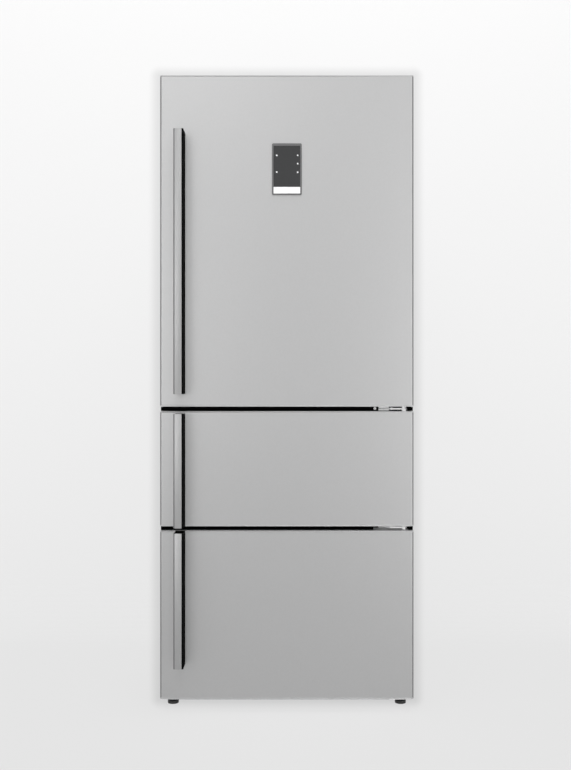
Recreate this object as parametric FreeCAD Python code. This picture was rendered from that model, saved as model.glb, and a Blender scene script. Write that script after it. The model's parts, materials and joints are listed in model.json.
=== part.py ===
import FreeCAD
import Part
import math
import os

# Three-door fridge freezer, millimetres, +Z up, front towards -Y.
# The origin is the middle of the footprint on the floor.

# Overall body
WIDTH = 740.0
HANDLE_DEPTH = 58.0
DOOR_THICKNESS = 62.0
DOOR_TO_CABINET = 12.0
CABINET_DEPTH = 600.0
REAR_CLEARANCE = 40.0
CABINET_BOTTOM = 30.0
CABINET_RISE = 2.0
CABINET_CORNER = 8.0
SHEET = 1.0
OVERRUN = 5.0
PARALLEL_SHARE = 1e-6

# Doors
DOOR_BOTTOM = 40.0
FREEZER_DOOR_HEIGHT = 491.0
LOWER_DOOR_GAP = 13.0
CHILL_DOOR_HEIGHT = 335.0
UPPER_DOOR_GAP = 14.0
FRIDGE_DOOR_HEIGHT = 966.0
SKIN_FRONT_RADIUS = 6.0
SKIN_BACK_RADIUS = 2.5
SKIN_RETURN = 14.0
CAP_EDGE = 4.0
CAP_RIM_DEPTH = 8.0
CAP_RIM_WALL = 3.0
PANEL_SHEET = 2.0
DIKE_INSET = 70.0
DIKE_WIDTH = 34.0
DIKE_HEIGHT = 18.0
DIKE_CORNER = 3.0
DIKE_END = 10.0

# Gaskets
GASKET_INSET = 29.0
GASKET_WIDTH = 9.0
GASKET_GROOVE = 2.0
GASKET_BASE = 4.0
GASKET_NECK = 3.0
SOFT_CLEARANCE = 0.3

# Compartments
OPENING_INSET = 58.0
LINER_SHEET = 2.0
LINER_LIP = 2.0
LINER_RADIUS = 20.0
LINER_BACK = 60.0
FREEZER_FLOOR_RISE = 60.0
LOWER_RAIL_OVERLAP = 18.0
UPPER_RAIL_OVERLAP = 17.0
CEILING_DROP = 44.0
FRONT_FLANGE = 40.0
RAIL_LEG = 14.0
NOSE_SETBACK = 9.0
NOSE_MARGIN = 1.5
NOSE_INSET = 1.5
NOSE_PLAY = 1.0
NOSE_EYE_PLAY = 2.0

# Compressor bay and the step above it
BAY_DEPTH = 221.0
BAY_ROOF = 34.0
STEP_WALL = 30.0
STEP_SHARE = 0.4746

# Base frame
BASE_SHEET = 2.0
CHANNEL_WIDTH = 36.0
CHANNEL_CLEARANCE = 5.0
CHANNEL_END_INSET = 12.0
REAR_UPSTAND = 32.0
VENT_SLOTS = 9
VENT_SLOT_LENGTH = 70.0
VENT_SLOT_WIDTH = 7.0
VENT_SLOT_PITCH = 20.0
VENT_FIRST_X = 40.0

# Feet and rollers
FOOT_INSET = 28.0
FOOT_SETBACK = 20.0
FOOT_RADIUS = 16.5
FOOT_DISC = 9.0
FOOT_EDGE = 2.0
FOOT_COLLAR_FLATS = 17.0
FOOT_STEM_RADIUS = 5.0
FOOT_STEM_OVER = 2.0
FOOT_NUT_RADIUS = 10.0
FOOT_NUT_HEIGHT = 12.0
HEX_SIDES = 6
RUNNING_CLEARANCE = 0.06
POCKET_MARGIN = 2.0
ROLLER_INSET = 33.0
ROLLER_SETBACK = 46.0
ROLLER_RADIUS = 13.0
ROLLER_WIDTH = 22.0
ROLLER_TYRE_EDGE = 1.5
ROLLER_HUB_DISH = 3.0
ROLLER_HUB_RADIUS = 7.0
ROLLER_AXLE_RADIUS = 3.0
EAR_SHEET = 3.0
EAR_HALF_WIDTH = 10.0
EAR_BOTTOM = 5.0
EAR_GAP = 1.0

# Handles
HANDLE_INSET = 45.0
HANDLE_WIDTH = 28.5
HANDLE_CROWN = 1.2
HANDLE_CORNER = 5.0
COVER_SHEET = 2.0
COVER_FACE_SHEET = 3.0
GRIP_BASE = 4.0
GRIP_WEB = 5.0
GRIP_FRONT = 5.0
GRIP_LIP = 6.0
GRIP_LIP_WIDTH = 4.0
HANDLE_END = 4.0
FRIDGE_HANDLE_RISE = 37.0
FRIDGE_HANDLE_DROP = 169.0
CHILL_HANDLE_RISE = 2.0
CHILL_HANDLE_DROP = 6.0
FREEZER_HANDLE_RISE = 103.0

# Display
DISPLAY_WIDTH = 87.0
DISPLAY_DROP = 199.0
DISPLAY_HEIGHT = 150.0
DISPLAY_DEPTH = 3.0
DISPLAY_FLOOR = 1.0
DISPLAY_CORNER = 4.0
GLASS_SIDE_MARGIN = 4.5
GLASS_TOP_MARGIN = 7.0
STRIP_HEIGHT = 19.0
STRIP_MARGIN = 4.0
GLASS_PROUD = 1.6
STRIP_PROUD = 1.8
DISPLAY_PLAY = 0.2

# Hinges
PIN_INSET = 25.0
PIN_SETBACK = 30.0
PIN_RADIUS = 4.0
PIN_INSERT = 14.0
BUSH_WALL = 4.0
BUSH_FLOOR = 3.0
HINGE_ARM = 4.0
HINGE_FLANGE = 3.0
HINGE_EYE = 9.0
HINGE_COLLAR = 7.0
FLANGE_INSET = 46.0
FLANGE_WIDTH = 70.0
TONGUE_INSET = 67.0
TONGUE_WIDTH = 30.0
TONGUE_REACH = 24.0
BOSS_REACH = 16.0
BOSS_MARGIN = 1.5
UPPER_FLANGE_HEIGHT = 22.0
LOWER_FLANGE_HEIGHT = 20.0
SCREW_INSET = 57.0
SCREW_PITCH = 50.0
SCREW_HEAD_RADIUS = 5.5
SCREW_HEAD = 2.6
SCREW_SHANK_RADIUS = 2.5
SCREW_SHANK = 12.0
SCREW_DRIVE_RADIUS = 2.0
SCREW_DRIVE_DEPTH = 1.4
BOTTOM_FLANGE_RISE = 34.0
BOTTOM_SCREW_RISE = 16.0
TOP_PLATE_INSET = 12.0
TOP_PLATE_WIDTH = 96.0
TOP_PLATE_BACK = 96.0
TOP_PLATE_SHEET = 3.0
TOP_NECK_INSET = 48.0
TOP_SCREW_FRONT = 24.0
TOP_SCREW_BACK = 72.0
TOP_SCREW_INSET = 34.0
TOP_SCREW_PITCH = 52.0
HOOD_INSET = 4.0
HOOD_WIDTH = 118.0
HOOD_FRONT = 3.0
HOOD_BACK = 122.0
HOOD_HEIGHT = 17.0
HOOD_WALL = 2.0
HOOD_CORNER = 9.0
HOOD_TOP_EDGE = 5.0

# Drawers
DRAWER_SIDE_GAP = 37.0
DRAWER_SETBACK = 35.0
DRAWER_WALL = 2.5
DRAWER_FRONT = 8.0
DRAWER_FLANGE = 4.0
DRAWER_FLANGE_WIDTH = 21.0
DRAWER_TAPER = 8.0
DRAWER_CORNER = 14.0
DRAWER_LIP_DROP = 8.0
DRAWER_RUNNER_GAP = 6.0
DRAWER_RUNNER_HEIGHT = 12.0
DRAWER_RUNNER_MARGIN = 10.0
DRAWER_FLOOR_GAP = 5.0
SCOOP_HALF_WIDTH = 90.0
SCOOP_DEPTH = 26.0
SCOOP_CORNER = 20.0
CRISPER_HEIGHT = 193.0
CRISPER_REAR_GAP = 61.0
CHILL_DRAWER_TOP_GAP = 27.0
CHILL_DRAWER_REAR_GAP = 41.0
UPPER_DRAWER_TOP_GAP = 17.0
UPPER_DRAWER_REAR_GAP = 10.0
UPPER_DRAWER_STEP_GAP = 6.0
LOWER_DRAWER_TOP_GAP = 12.0
LOWER_DRAWER_REAR_GAP = 13.0

# Shelves
SHELF_OVER_CRISPER = 6.0
SHELF_SHARES = (0.0, 0.251, 0.4965, 0.742)
SHELF_GLASS = 4.0
SHELF_SIDE_PLAY = 6.0
SHELF_SETBACK = 121.0
SHELF_REAR_GAP = 33.0
SHELF_TRIM = 6.0
SHELF_TRIM_GRIP = 6.0
SHELF_TRIM_LIP = 3.0
SHELF_BACK_UPSTAND = 14.0
SHELF_RIB_WIDTH = 14.0
SHELF_RIB_HEIGHT = 8.0
SHELF_RIB_START = 15.0
SHELF_RIB_END = 8.0

# Door balconies
BALCONY_OVER_SHELF = 14.0
BALCONY_SHARES = (0.0, 0.3195, 0.659)
BALCONY_HEIGHTS = (104.0, 74.0, 74.0)
BALCONY_REACH = 118.0
BALCONY_STANDOFF = 4.5
BALCONY_WALL = 2.5
BALCONY_CORNER = 22.0
BALCONY_BACK_DROP = 26.0
BALCONY_RAIL = 5.0
LUG_WIDTH = 4.0
LUG_DEPTH = 10.0
LUG_HEIGHT = 16.0
LUG_RISE = 22.0
LUG_HOOK = 12.0
LUG_PLAY = 0.5

# Air ducts
DUCT_HALF_WIDTH = 110.0
DUCT_FACE_HALF = 90.0
DUCT_DEPTH = 24.0
DUCT_RISE = 26.0
DUCT_DROP = 20.0
DUCT_WALL = 2.0
DUCT_ROW_RISE = 110.0
DUCT_SLOT_HALF = 60.0
DUCT_SLOT_INNER = 8.0
DUCT_SLOT_HEIGHT = 10.0
COVER_PANEL_GAP = 16.0
COVER_PANEL_SHEET = 3.0
COVER_PANEL_PLAY = 6.0
COVER_PANEL_DROP = 5.0
COVER_PANEL_CORNER = 14.0
COVER_SLOT_COUNT = 10
COVER_SLOT_PITCH = 26.0
COVER_SLOT_WIDTH = 10.0
COVER_SLOT_SHARES = (0.174, 0.609)

# Fan
FAN_DROP = 65.0
FAN_RADIUS = 44.0
FAN_HUB_RADIUS = 14.0
FAN_HUB_GAP = 10.0
FAN_HUB_DEPTH = 18.0
FAN_BLADES = 7
FAN_BLADE_SHEET = 1.6
FAN_BLADE_CAMBER = 2.4
FAN_ROOT_CHORD = 18.0
FAN_TIP_CHORD = 32.0
FAN_ROOT_PITCH = 48.0
FAN_TIP_PITCH = 26.0
FAN_MOUTH_RADIUS = 48.0
FAN_SHAFT_RADIUS = 3.0
FAN_SHAFT_OVER = 2.0
GRILLE_BAR = 3.0
GRILLE_RING_RADIUS = 26.0
MOTOR_GAP = 6.0
MOTOR_RADIUS = 20.0
MOTOR_PLATE = 4.0
MOTOR_PLATE_HALF = 36.0
MOTOR_PLATE_CORNER = 8.0

# Evaporator
EVAPORATOR_END_GAP = 102.0
EVAPORATOR_REAR_GAP = 14.0
EVAPORATOR_DEPTH = 50.0
EVAPORATOR_UNDER_FAN = 60.0
EVAPORATOR_CORE = 3.0
EVAPORATOR_FIN = 1.0
EVAPORATOR_FINS = 29
EVAPORATOR_BENDS = 3
TUBE_SHARE = 0.0435
BEND_RADIUS_SHARE = 0.098
BEND_PITCH_SHARE = 0.304
FIRST_BEND_SHARE = 0.152

# Compressor
COMPRESSOR_INSET = 220.0
COMPRESSOR_RADIUS = 72.0
DOME_SHARE = 0.72
COMPRESSOR_SEAM = 4.0
COMPRESSOR_LIFT = 8.0
COMPRESSOR_BOTTOM_RISE = 2.0
COMPRESSOR_WAIST_RISE = 22.0
COMPRESSOR_SEAM_RISE = 52.0
COMPRESSOR_SEAM_HEIGHT = 6.0
COMPRESSOR_SHOULDER_RISE = 110.0
COMPRESSOR_HEIGHT = 148.0
COMPRESSOR_FLAT_BOTTOM = 50.0
COMPRESSOR_FLAT_TOP = 44.0
COMPRESSOR_FOOT_X = 82.0
COMPRESSOR_FOOT_Y = 62.0
COMPRESSOR_PLATE_MARGIN = 14.0
COMPRESSOR_PLATE_SHEET = 3.0
COMPRESSOR_PLATE_CORNER = 14.0
GROMMET_RADIUS = 11.0
GROMMET_NECK = 7.0
GROMMET_OVER = 10.0
STUD_RADIUS = 4.0
STUD_OVER = 14.0
STUB_RADIUS = 4.0
STUB_LENGTH = 26.0
STUB_ANGLES = (200.0, 250.0, 330.0)
STUB_RISES = (80.0, 44.0, 92.0)
TERMINAL_WIDTH = 46.0
TERMINAL_DEPTH = 26.0
TERMINAL_RISE = 64.0
TERMINAL_HEIGHT = 44.0
TERMINAL_EDGE = 5.0
DRAIN_HALF_WIDTH = 92.0
DRAIN_HALF_DEPTH = 74.0
DRAIN_HEIGHT = 26.0
DRAIN_WALL = 2.0
DRAIN_CORNER = 16.0
DRAIN_RIM = 5.0

# Condenser
CONDENSER_INSET = 130.0
CONDENSER_BEND = 40.0
CONDENSER_RUNS = 14
CONDENSER_RISE = 168.0
CONDENSER_TUBE_RADIUS = 2.5
CONDENSER_TUBE_OFFSET = 28.0
CONDENSER_WIRE_RADIUS = 1.0
CONDENSER_WIRES = 17
CONDENSER_WIRE_INSET = 8.0
CONDENSER_STRAP_INSET = 76.0
CONDENSER_STRAP_WIDTH = 32.0
CONDENSER_STRAP_SHEET = 2.5
CONDENSER_LEG_WIDTH = 8.0
CONDENSER_LEG_HEIGHT = 24.0
CONDENSER_END = 20.0

# Cord gland
GLAND_INSET = 120.0
GLAND_RISE = 15.0
GLAND_BORE = 4.5
GLAND_BODY = 8.0
GLAND_FLANGE = 12.0
GLAND_FLANGE_SHEET = 3.0
GLAND_SLEEVE = 12.0
GLAND_SLEEVE_RADIUS = 6.5

# Depths that follow from the sizes
HALF_DEPTH = (HANDLE_DEPTH + DOOR_THICKNESS + DOOR_TO_CABINET + CABINET_DEPTH + REAR_CLEARANCE) / 2
DOOR_FRONT = HANDLE_DEPTH - HALF_DEPTH
DOOR_BACK = DOOR_FRONT + DOOR_THICKNESS
CABINET_FRONT = DOOR_BACK + DOOR_TO_CABINET
CABINET_BACK = CABINET_FRONT + CABINET_DEPTH
INNER_BACK = CABINET_BACK - LINER_BACK
BAY_FRONT = CABINET_BACK - BAY_DEPTH
BAY_MIDDLE = (BAY_FRONT + CABINET_BACK) / 2
STEP_FRONT = BAY_FRONT - STEP_WALL
PIN_Y = DOOR_FRONT + PIN_SETBACK
GRIP_FACE = DOOR_FRONT - HANDLE_DEPTH + HANDLE_CROWN + COVER_FACE_SHEET
FOOT_Y = CABINET_FRONT + FOOT_SETBACK
ROLLER_Y = CABINET_BACK - ROLLER_SETBACK
DRAWER_FACE = CABINET_FRONT + DRAWER_SETBACK
SHELF_FRONT = CABINET_FRONT + SHELF_SETBACK
SHELF_BACK = INNER_BACK - SHELF_REAR_GAP
EVAPORATOR_BACK = INNER_BACK - EVAPORATOR_REAR_GAP
EVAPORATOR_FRONT = EVAPORATOR_BACK - EVAPORATOR_DEPTH
COVER_PANEL_Y = EVAPORATOR_FRONT - COVER_PANEL_GAP
FAN_HUB_FRONT = COVER_PANEL_Y + FAN_HUB_GAP
FAN_HUB_BACK = FAN_HUB_FRONT + FAN_HUB_DEPTH
MOTOR_FRONT = FAN_HUB_BACK + MOTOR_GAP
CRISPER_BACK = INNER_BACK - CRISPER_REAR_GAP
CHILL_DRAWER_BACK = INNER_BACK - CHILL_DRAWER_REAR_GAP
UPPER_DRAWER_BACK = COVER_PANEL_Y - UPPER_DRAWER_REAR_GAP
LOWER_DRAWER_BACK = STEP_FRONT - LOWER_DRAWER_REAR_GAP

# Places across that follow from the sizes
HALF_WIDTH = WIDTH / 2
INNER_HALF = HALF_WIDTH - OPENING_INSET
FLANGE_HALF = HALF_WIDTH - FRONT_FLANGE
FOOT_X = HALF_WIDTH - FOOT_INSET
ROLLER_X = HALF_WIDTH - ROLLER_INSET
HANDLE_LEFT = HANDLE_INSET - HALF_WIDTH
GLASS_HALF_WIDTH = DISPLAY_WIDTH / 2 - GLASS_SIDE_MARGIN
PIN_X = HALF_WIDTH - PIN_INSET
FLANGE_RIGHT = HALF_WIDTH - FLANGE_INSET
FLANGE_LEFT = FLANGE_RIGHT - FLANGE_WIDTH
TONGUE_RIGHT = HALF_WIDTH - TONGUE_INSET
TONGUE_LEFT = TONGUE_RIGHT - TONGUE_WIDTH
SCREW_RIGHT = HALF_WIDTH - SCREW_INSET
SCREW_LEFT = SCREW_RIGHT - SCREW_PITCH
TOP_PLATE_RIGHT = HALF_WIDTH - TOP_PLATE_INSET
TOP_PLATE_LEFT = TOP_PLATE_RIGHT - TOP_PLATE_WIDTH
TOP_NECK_LEFT = HALF_WIDTH - TOP_NECK_INSET
TOP_SCREW_RIGHT = HALF_WIDTH - TOP_SCREW_INSET
TOP_SCREW_LEFT = TOP_SCREW_RIGHT - TOP_SCREW_PITCH
HOOD_RIGHT = HALF_WIDTH - HOOD_INSET
HOOD_LEFT = HOOD_RIGHT - HOOD_WIDTH
DRAWER_HALF_WIDTH = INNER_HALF - DRAWER_SIDE_GAP
DRAWER_TUB_HALF = DRAWER_HALF_WIDTH - DRAWER_FLANGE_WIDTH
DRAWER_RUNNER_INNER = DRAWER_TUB_HALF + DRAWER_RUNNER_GAP
SHELF_HALF_WIDTH = INNER_HALF - SHELF_SIDE_PLAY
COVER_PANEL_HALF = INNER_HALF - COVER_PANEL_PLAY
BALCONY_HALF_WIDTH = HALF_WIDTH - DIKE_INSET - DIKE_WIDTH - LUG_WIDTH - LUG_PLAY
EVAPORATOR_HALF = INNER_HALF - EVAPORATOR_END_GAP
COMPRESSOR_X = COMPRESSOR_INSET - HALF_WIDTH
CONDENSER_RUN_HALF = HALF_WIDTH - CONDENSER_INSET
CONDENSER_WIRE_SPAN = CONDENSER_RUN_HALF - CONDENSER_WIRE_INSET
CONDENSER_STRAP_OUTER = HALF_WIDTH - CONDENSER_STRAP_INSET
CONDENSER_STRAP_INNER = CONDENSER_STRAP_OUTER - CONDENSER_STRAP_WIDTH
CONDENSER_LEG_INNER = CONDENSER_STRAP_OUTER - CONDENSER_LEG_WIDTH
GLAND_X = HALF_WIDTH - GLAND_INSET

# Heights that follow from the sizes
FREEZER_DOOR_TOP = DOOR_BOTTOM + FREEZER_DOOR_HEIGHT
CHILL_DOOR_BOTTOM = FREEZER_DOOR_TOP + LOWER_DOOR_GAP
CHILL_DOOR_TOP = CHILL_DOOR_BOTTOM + CHILL_DOOR_HEIGHT
FRIDGE_DOOR_BOTTOM = CHILL_DOOR_TOP + UPPER_DOOR_GAP
FRIDGE_DOOR_TOP = FRIDGE_DOOR_BOTTOM + FRIDGE_DOOR_HEIGHT
CABINET_TOP = FRIDGE_DOOR_TOP + CABINET_RISE
FREEZER_FLOOR = DOOR_BOTTOM + FREEZER_FLOOR_RISE
FREEZER_CEILING = FREEZER_DOOR_TOP - LOWER_RAIL_OVERLAP
CHILL_FLOOR = CHILL_DOOR_BOTTOM + LOWER_RAIL_OVERLAP
CHILL_CEILING = CHILL_DOOR_TOP - UPPER_RAIL_OVERLAP
FRIDGE_FLOOR = FRIDGE_DOOR_BOTTOM + UPPER_RAIL_OVERLAP
FRIDGE_CEILING = FRIDGE_DOOR_TOP - CEILING_DROP
STEP_TOP = FREEZER_FLOOR + STEP_SHARE * (FREEZER_CEILING - FREEZER_FLOOR)
BAY_TOP = STEP_TOP - BAY_ROOF
BASE_TOP = CABINET_BOTTOM + BASE_SHEET
CHANNEL_BOTTOM = FOOT_DISC + CHANNEL_CLEARANCE
FOOT_STEM_TOP = BASE_TOP + FOOT_NUT_HEIGHT + FOOT_STEM_OVER
UPSTAND_TOP = FREEZER_FLOOR - LINER_LIP
LOWER_RAIL_BOTTOM = FREEZER_CEILING + LINER_LIP
LOWER_RAIL_TOP = CHILL_FLOOR - LINER_LIP
UPPER_RAIL_BOTTOM = CHILL_CEILING + LINER_LIP
UPPER_RAIL_TOP = FRIDGE_FLOOR - LINER_LIP
BOTTOM_FLANGE_TOP = DOOR_BOTTOM + BOTTOM_FLANGE_RISE
BOTTOM_SCREW_Z = DOOR_BOTTOM + BOTTOM_SCREW_RISE
FRIDGE_HANDLE_BOTTOM = FRIDGE_DOOR_BOTTOM + FRIDGE_HANDLE_RISE
FRIDGE_HANDLE_TOP = FRIDGE_DOOR_TOP - FRIDGE_HANDLE_DROP
CHILL_HANDLE_BOTTOM = CHILL_DOOR_BOTTOM + CHILL_HANDLE_RISE
CHILL_HANDLE_TOP = CHILL_DOOR_TOP - CHILL_HANDLE_DROP
FREEZER_HANDLE_BOTTOM = DOOR_BOTTOM + FREEZER_HANDLE_RISE
DISPLAY_TOP = FRIDGE_DOOR_TOP - DISPLAY_DROP
DISPLAY_BOTTOM = DISPLAY_TOP - DISPLAY_HEIGHT
GLASS_TOP = DISPLAY_TOP - GLASS_TOP_MARGIN
STRIP_BOTTOM = DISPLAY_BOTTOM + STRIP_MARGIN
GLASS_BOTTOM = STRIP_BOTTOM + STRIP_HEIGHT
CRISPER_BOTTOM = FRIDGE_FLOOR + DRAWER_FLOOR_GAP
CRISPER_TOP = CRISPER_BOTTOM + CRISPER_HEIGHT
CHILL_DRAWER_BOTTOM = CHILL_FLOOR + DRAWER_FLOOR_GAP
CHILL_DRAWER_TOP = CHILL_CEILING - CHILL_DRAWER_TOP_GAP
UPPER_DRAWER_BOTTOM = STEP_TOP + UPPER_DRAWER_STEP_GAP
UPPER_DRAWER_TOP = FREEZER_CEILING - UPPER_DRAWER_TOP_GAP
LOWER_DRAWER_BOTTOM = FREEZER_FLOOR + DRAWER_FLOOR_GAP
LOWER_DRAWER_TOP = STEP_TOP - LOWER_DRAWER_TOP_GAP
FIRST_SHELF = CRISPER_TOP + SHELF_OVER_CRISPER
SHELF_HEIGHTS = [FIRST_SHELF + share * (FRIDGE_CEILING - FIRST_SHELF) for share in SHELF_SHARES]
FIRST_BALCONY = FIRST_SHELF + BALCONY_OVER_SHELF
BALCONY_BOTTOMS = [FIRST_BALCONY + share * (FRIDGE_CEILING - FIRST_SHELF) for share in BALCONY_SHARES]
DUCT_BOTTOM = FIRST_SHELF + DUCT_RISE
DUCT_TOP = FRIDGE_CEILING - DUCT_DROP
COVER_PANEL_TOP = FREEZER_CEILING - COVER_PANEL_DROP
FAN_Z = FREEZER_CEILING - FAN_DROP
EVAPORATOR_TOP = FAN_Z - EVAPORATOR_UNDER_FAN
EVAPORATOR_HEIGHT = EVAPORATOR_TOP - STEP_TOP
COMPRESSOR_PLATE_Z = BASE_TOP + COMPRESSOR_LIFT
COMPRESSOR_BOTTOM = COMPRESSOR_PLATE_Z + COMPRESSOR_BOTTOM_RISE
COMPRESSOR_WAIST_BOTTOM = COMPRESSOR_PLATE_Z + COMPRESSOR_WAIST_RISE
COMPRESSOR_SEAM_BOTTOM = COMPRESSOR_PLATE_Z + COMPRESSOR_SEAM_RISE
COMPRESSOR_SEAM_TOP = COMPRESSOR_SEAM_BOTTOM + COMPRESSOR_SEAM_HEIGHT
COMPRESSOR_WAIST_TOP = COMPRESSOR_PLATE_Z + COMPRESSOR_SHOULDER_RISE
COMPRESSOR_TOP = COMPRESSOR_PLATE_Z + COMPRESSOR_HEIGHT
GROMMET_TOP = COMPRESSOR_PLATE_Z + GROMMET_OVER
STUD_TOP = COMPRESSOR_PLATE_Z + STUD_OVER
TERMINAL_BOTTOM = COMPRESSOR_PLATE_Z + TERMINAL_RISE
TERMINAL_TOP = TERMINAL_BOTTOM + TERMINAL_HEIGHT
CONDENSER_FIRST_Z = BAY_TOP + CONDENSER_RISE
GLAND_Z = BASE_TOP + GLAND_RISE


def vec(x, y, z):
    """Vector from three coordinates."""
    return FreeCAD.Vector(x, y, z)


def block(x0, x1, y0, y1, z0, z1):
    """Box between two corners."""
    return Part.makeBox(x1 - x0, y1 - y0, z1 - z0, vec(x0, y0, z0))


def edges_along(shape, axis):
    """Straight edges of a shape that run along an axis."""
    found = []
    for edge in shape.Edges:
        run = edge.Vertexes[-1].Point.sub(edge.Vertexes[0].Point)
        if run.Length > 0 and run.cross(axis).Length < run.Length * PARALLEL_SHARE:
            found.append(edge)
    return found


def soft_block(bounds, radius, axis):
    """Box whose edges along one axis are rounded."""
    shape = block(*bounds)
    return shape.makeFillet(radius, edges_along(shape, axis))


def prism(points, axis, start, end):
    """Straight prism of a closed outline along the x, y or z axis."""
    place = {
        "x": lambda a, b: vec(start, a, b),
        "y": lambda a, b: vec(a, start, b),
        "z": lambda a, b: vec(a, b, start),
    }[axis]
    along = {"x": vec(1, 0, 0), "y": vec(0, 1, 0), "z": vec(0, 0, 1)}[axis]
    corners = [place(a, b) for a, b in points]
    face = Part.Face(Part.makePolygon(corners + corners[:1]))
    return face.extrude(along * (end - start))


def rod(radius, start, end):
    """Round bar between two points."""
    span = end.sub(start)
    return Part.makeCylinder(radius, span.Length, start, span)


def turned(points, centre, axis):
    """Turned body of a closed radius and height outline about an axis through a point."""
    corners = [vec(radius, 0, height) for radius, height in points]
    face = Part.Face(Part.makePolygon(corners + corners[:1]))
    body = face.revolve(vec(0, 0, 0), vec(0, 0, 1), 360)
    body.Placement = FreeCAD.Placement(centre, FreeCAD.Rotation(vec(0, 0, 1), axis))
    return body


def joined(shapes):
    """One solid from touching or overlapping solids."""
    return shapes[0].multiFuse(shapes[1:]).removeSplitter()


def group(solids):
    """Separate solids kept together in one shape."""
    return Part.makeCompound(solids)


def moved(shape, x, y, z):
    """Copy of a shape at an offset."""
    copy = shape.copy()
    copy.translate(vec(x, y, z))
    return copy


def mirrored(shape):
    """Copy of a shape on the other side of the middle plane."""
    return shape.mirror(vec(0, 0, 0), vec(1, 0, 0))


X_AXIS = vec(1, 0, 0)
Y_AXIS = vec(0, 1, 0)
Z_AXIS = vec(0, 0, 1)


# Cabinet

def cabinet_block(inset, front, back, bottom):
    """Cabinet form with two rounded top edges, inset from the outer faces."""
    half = HALF_WIDTH - inset
    shape = block(-half, half, front, back, bottom, CABINET_TOP - inset)
    top_edges = [e for e in edges_along(shape, Y_AXIS) if e.CenterOfMass.z > FRIDGE_CEILING]
    return shape.makeFillet(CABINET_CORNER - inset, top_edges)


def outer_wrap():
    """Folded sheet of both sides and the top, with a sealing flange in front."""
    outside = cabinet_block(0, CABINET_FRONT, CABINET_BACK, CABINET_BOTTOM)
    inside = cabinet_block(SHEET, CABINET_FRONT + SHEET, CABINET_BACK + OVERRUN, CABINET_BOTTOM - OVERRUN)
    mouth = block(
        -FLANGE_HALF, FLANGE_HALF,
        CABINET_FRONT - OVERRUN, CABINET_FRONT + SHEET + OVERRUN,
        CABINET_BOTTOM - OVERRUN, CABINET_TOP - FRONT_FLANGE,
    )
    return outside.cut([inside, mouth] + screw_pockets())


def back_panel():
    """Flat rear sheet above the compressor bay, with a turned-out drip lip."""
    half = HALF_WIDTH - SHEET
    bottom = BAY_TOP + BASE_SHEET
    sheet = cabinet_block(SHEET, CABINET_BACK - SHEET, CABINET_BACK, bottom)
    lip = block(-half, half, CABINET_BACK - SHEET, CABINET_BACK + RAIL_LEG, bottom, bottom + SHEET)
    return joined([sheet, lip])


def roller_fork(side):
    """Two ears and the axle that carry one rear roller."""
    inner = ROLLER_X - ROLLER_WIDTH / 2 - EAR_GAP
    outer = ROLLER_X + ROLLER_WIDTH / 2 + EAR_GAP
    ears = []
    for x in (inner - EAR_SHEET, outer):
        ear = block(
            x, x + EAR_SHEET, ROLLER_Y - EAR_HALF_WIDTH, ROLLER_Y + EAR_HALF_WIDTH, EAR_BOTTOM, BASE_TOP
        )
        low = [e for e in edges_along(ear, X_AXIS) if e.CenterOfMass.z < ROLLER_RADIUS]
        ears.append(ear.makeFillet(EAR_HALF_WIDTH - EAR_GAP, low))
    axle = rod(
        ROLLER_AXLE_RADIUS,
        vec(inner - EAR_SHEET, ROLLER_Y, ROLLER_RADIUS),
        vec(outer + EAR_SHEET, ROLLER_Y, ROLLER_RADIUS),
    )
    fork = joined(ears + [axle])
    return fork if side > 0 else mirrored(fork)


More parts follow.
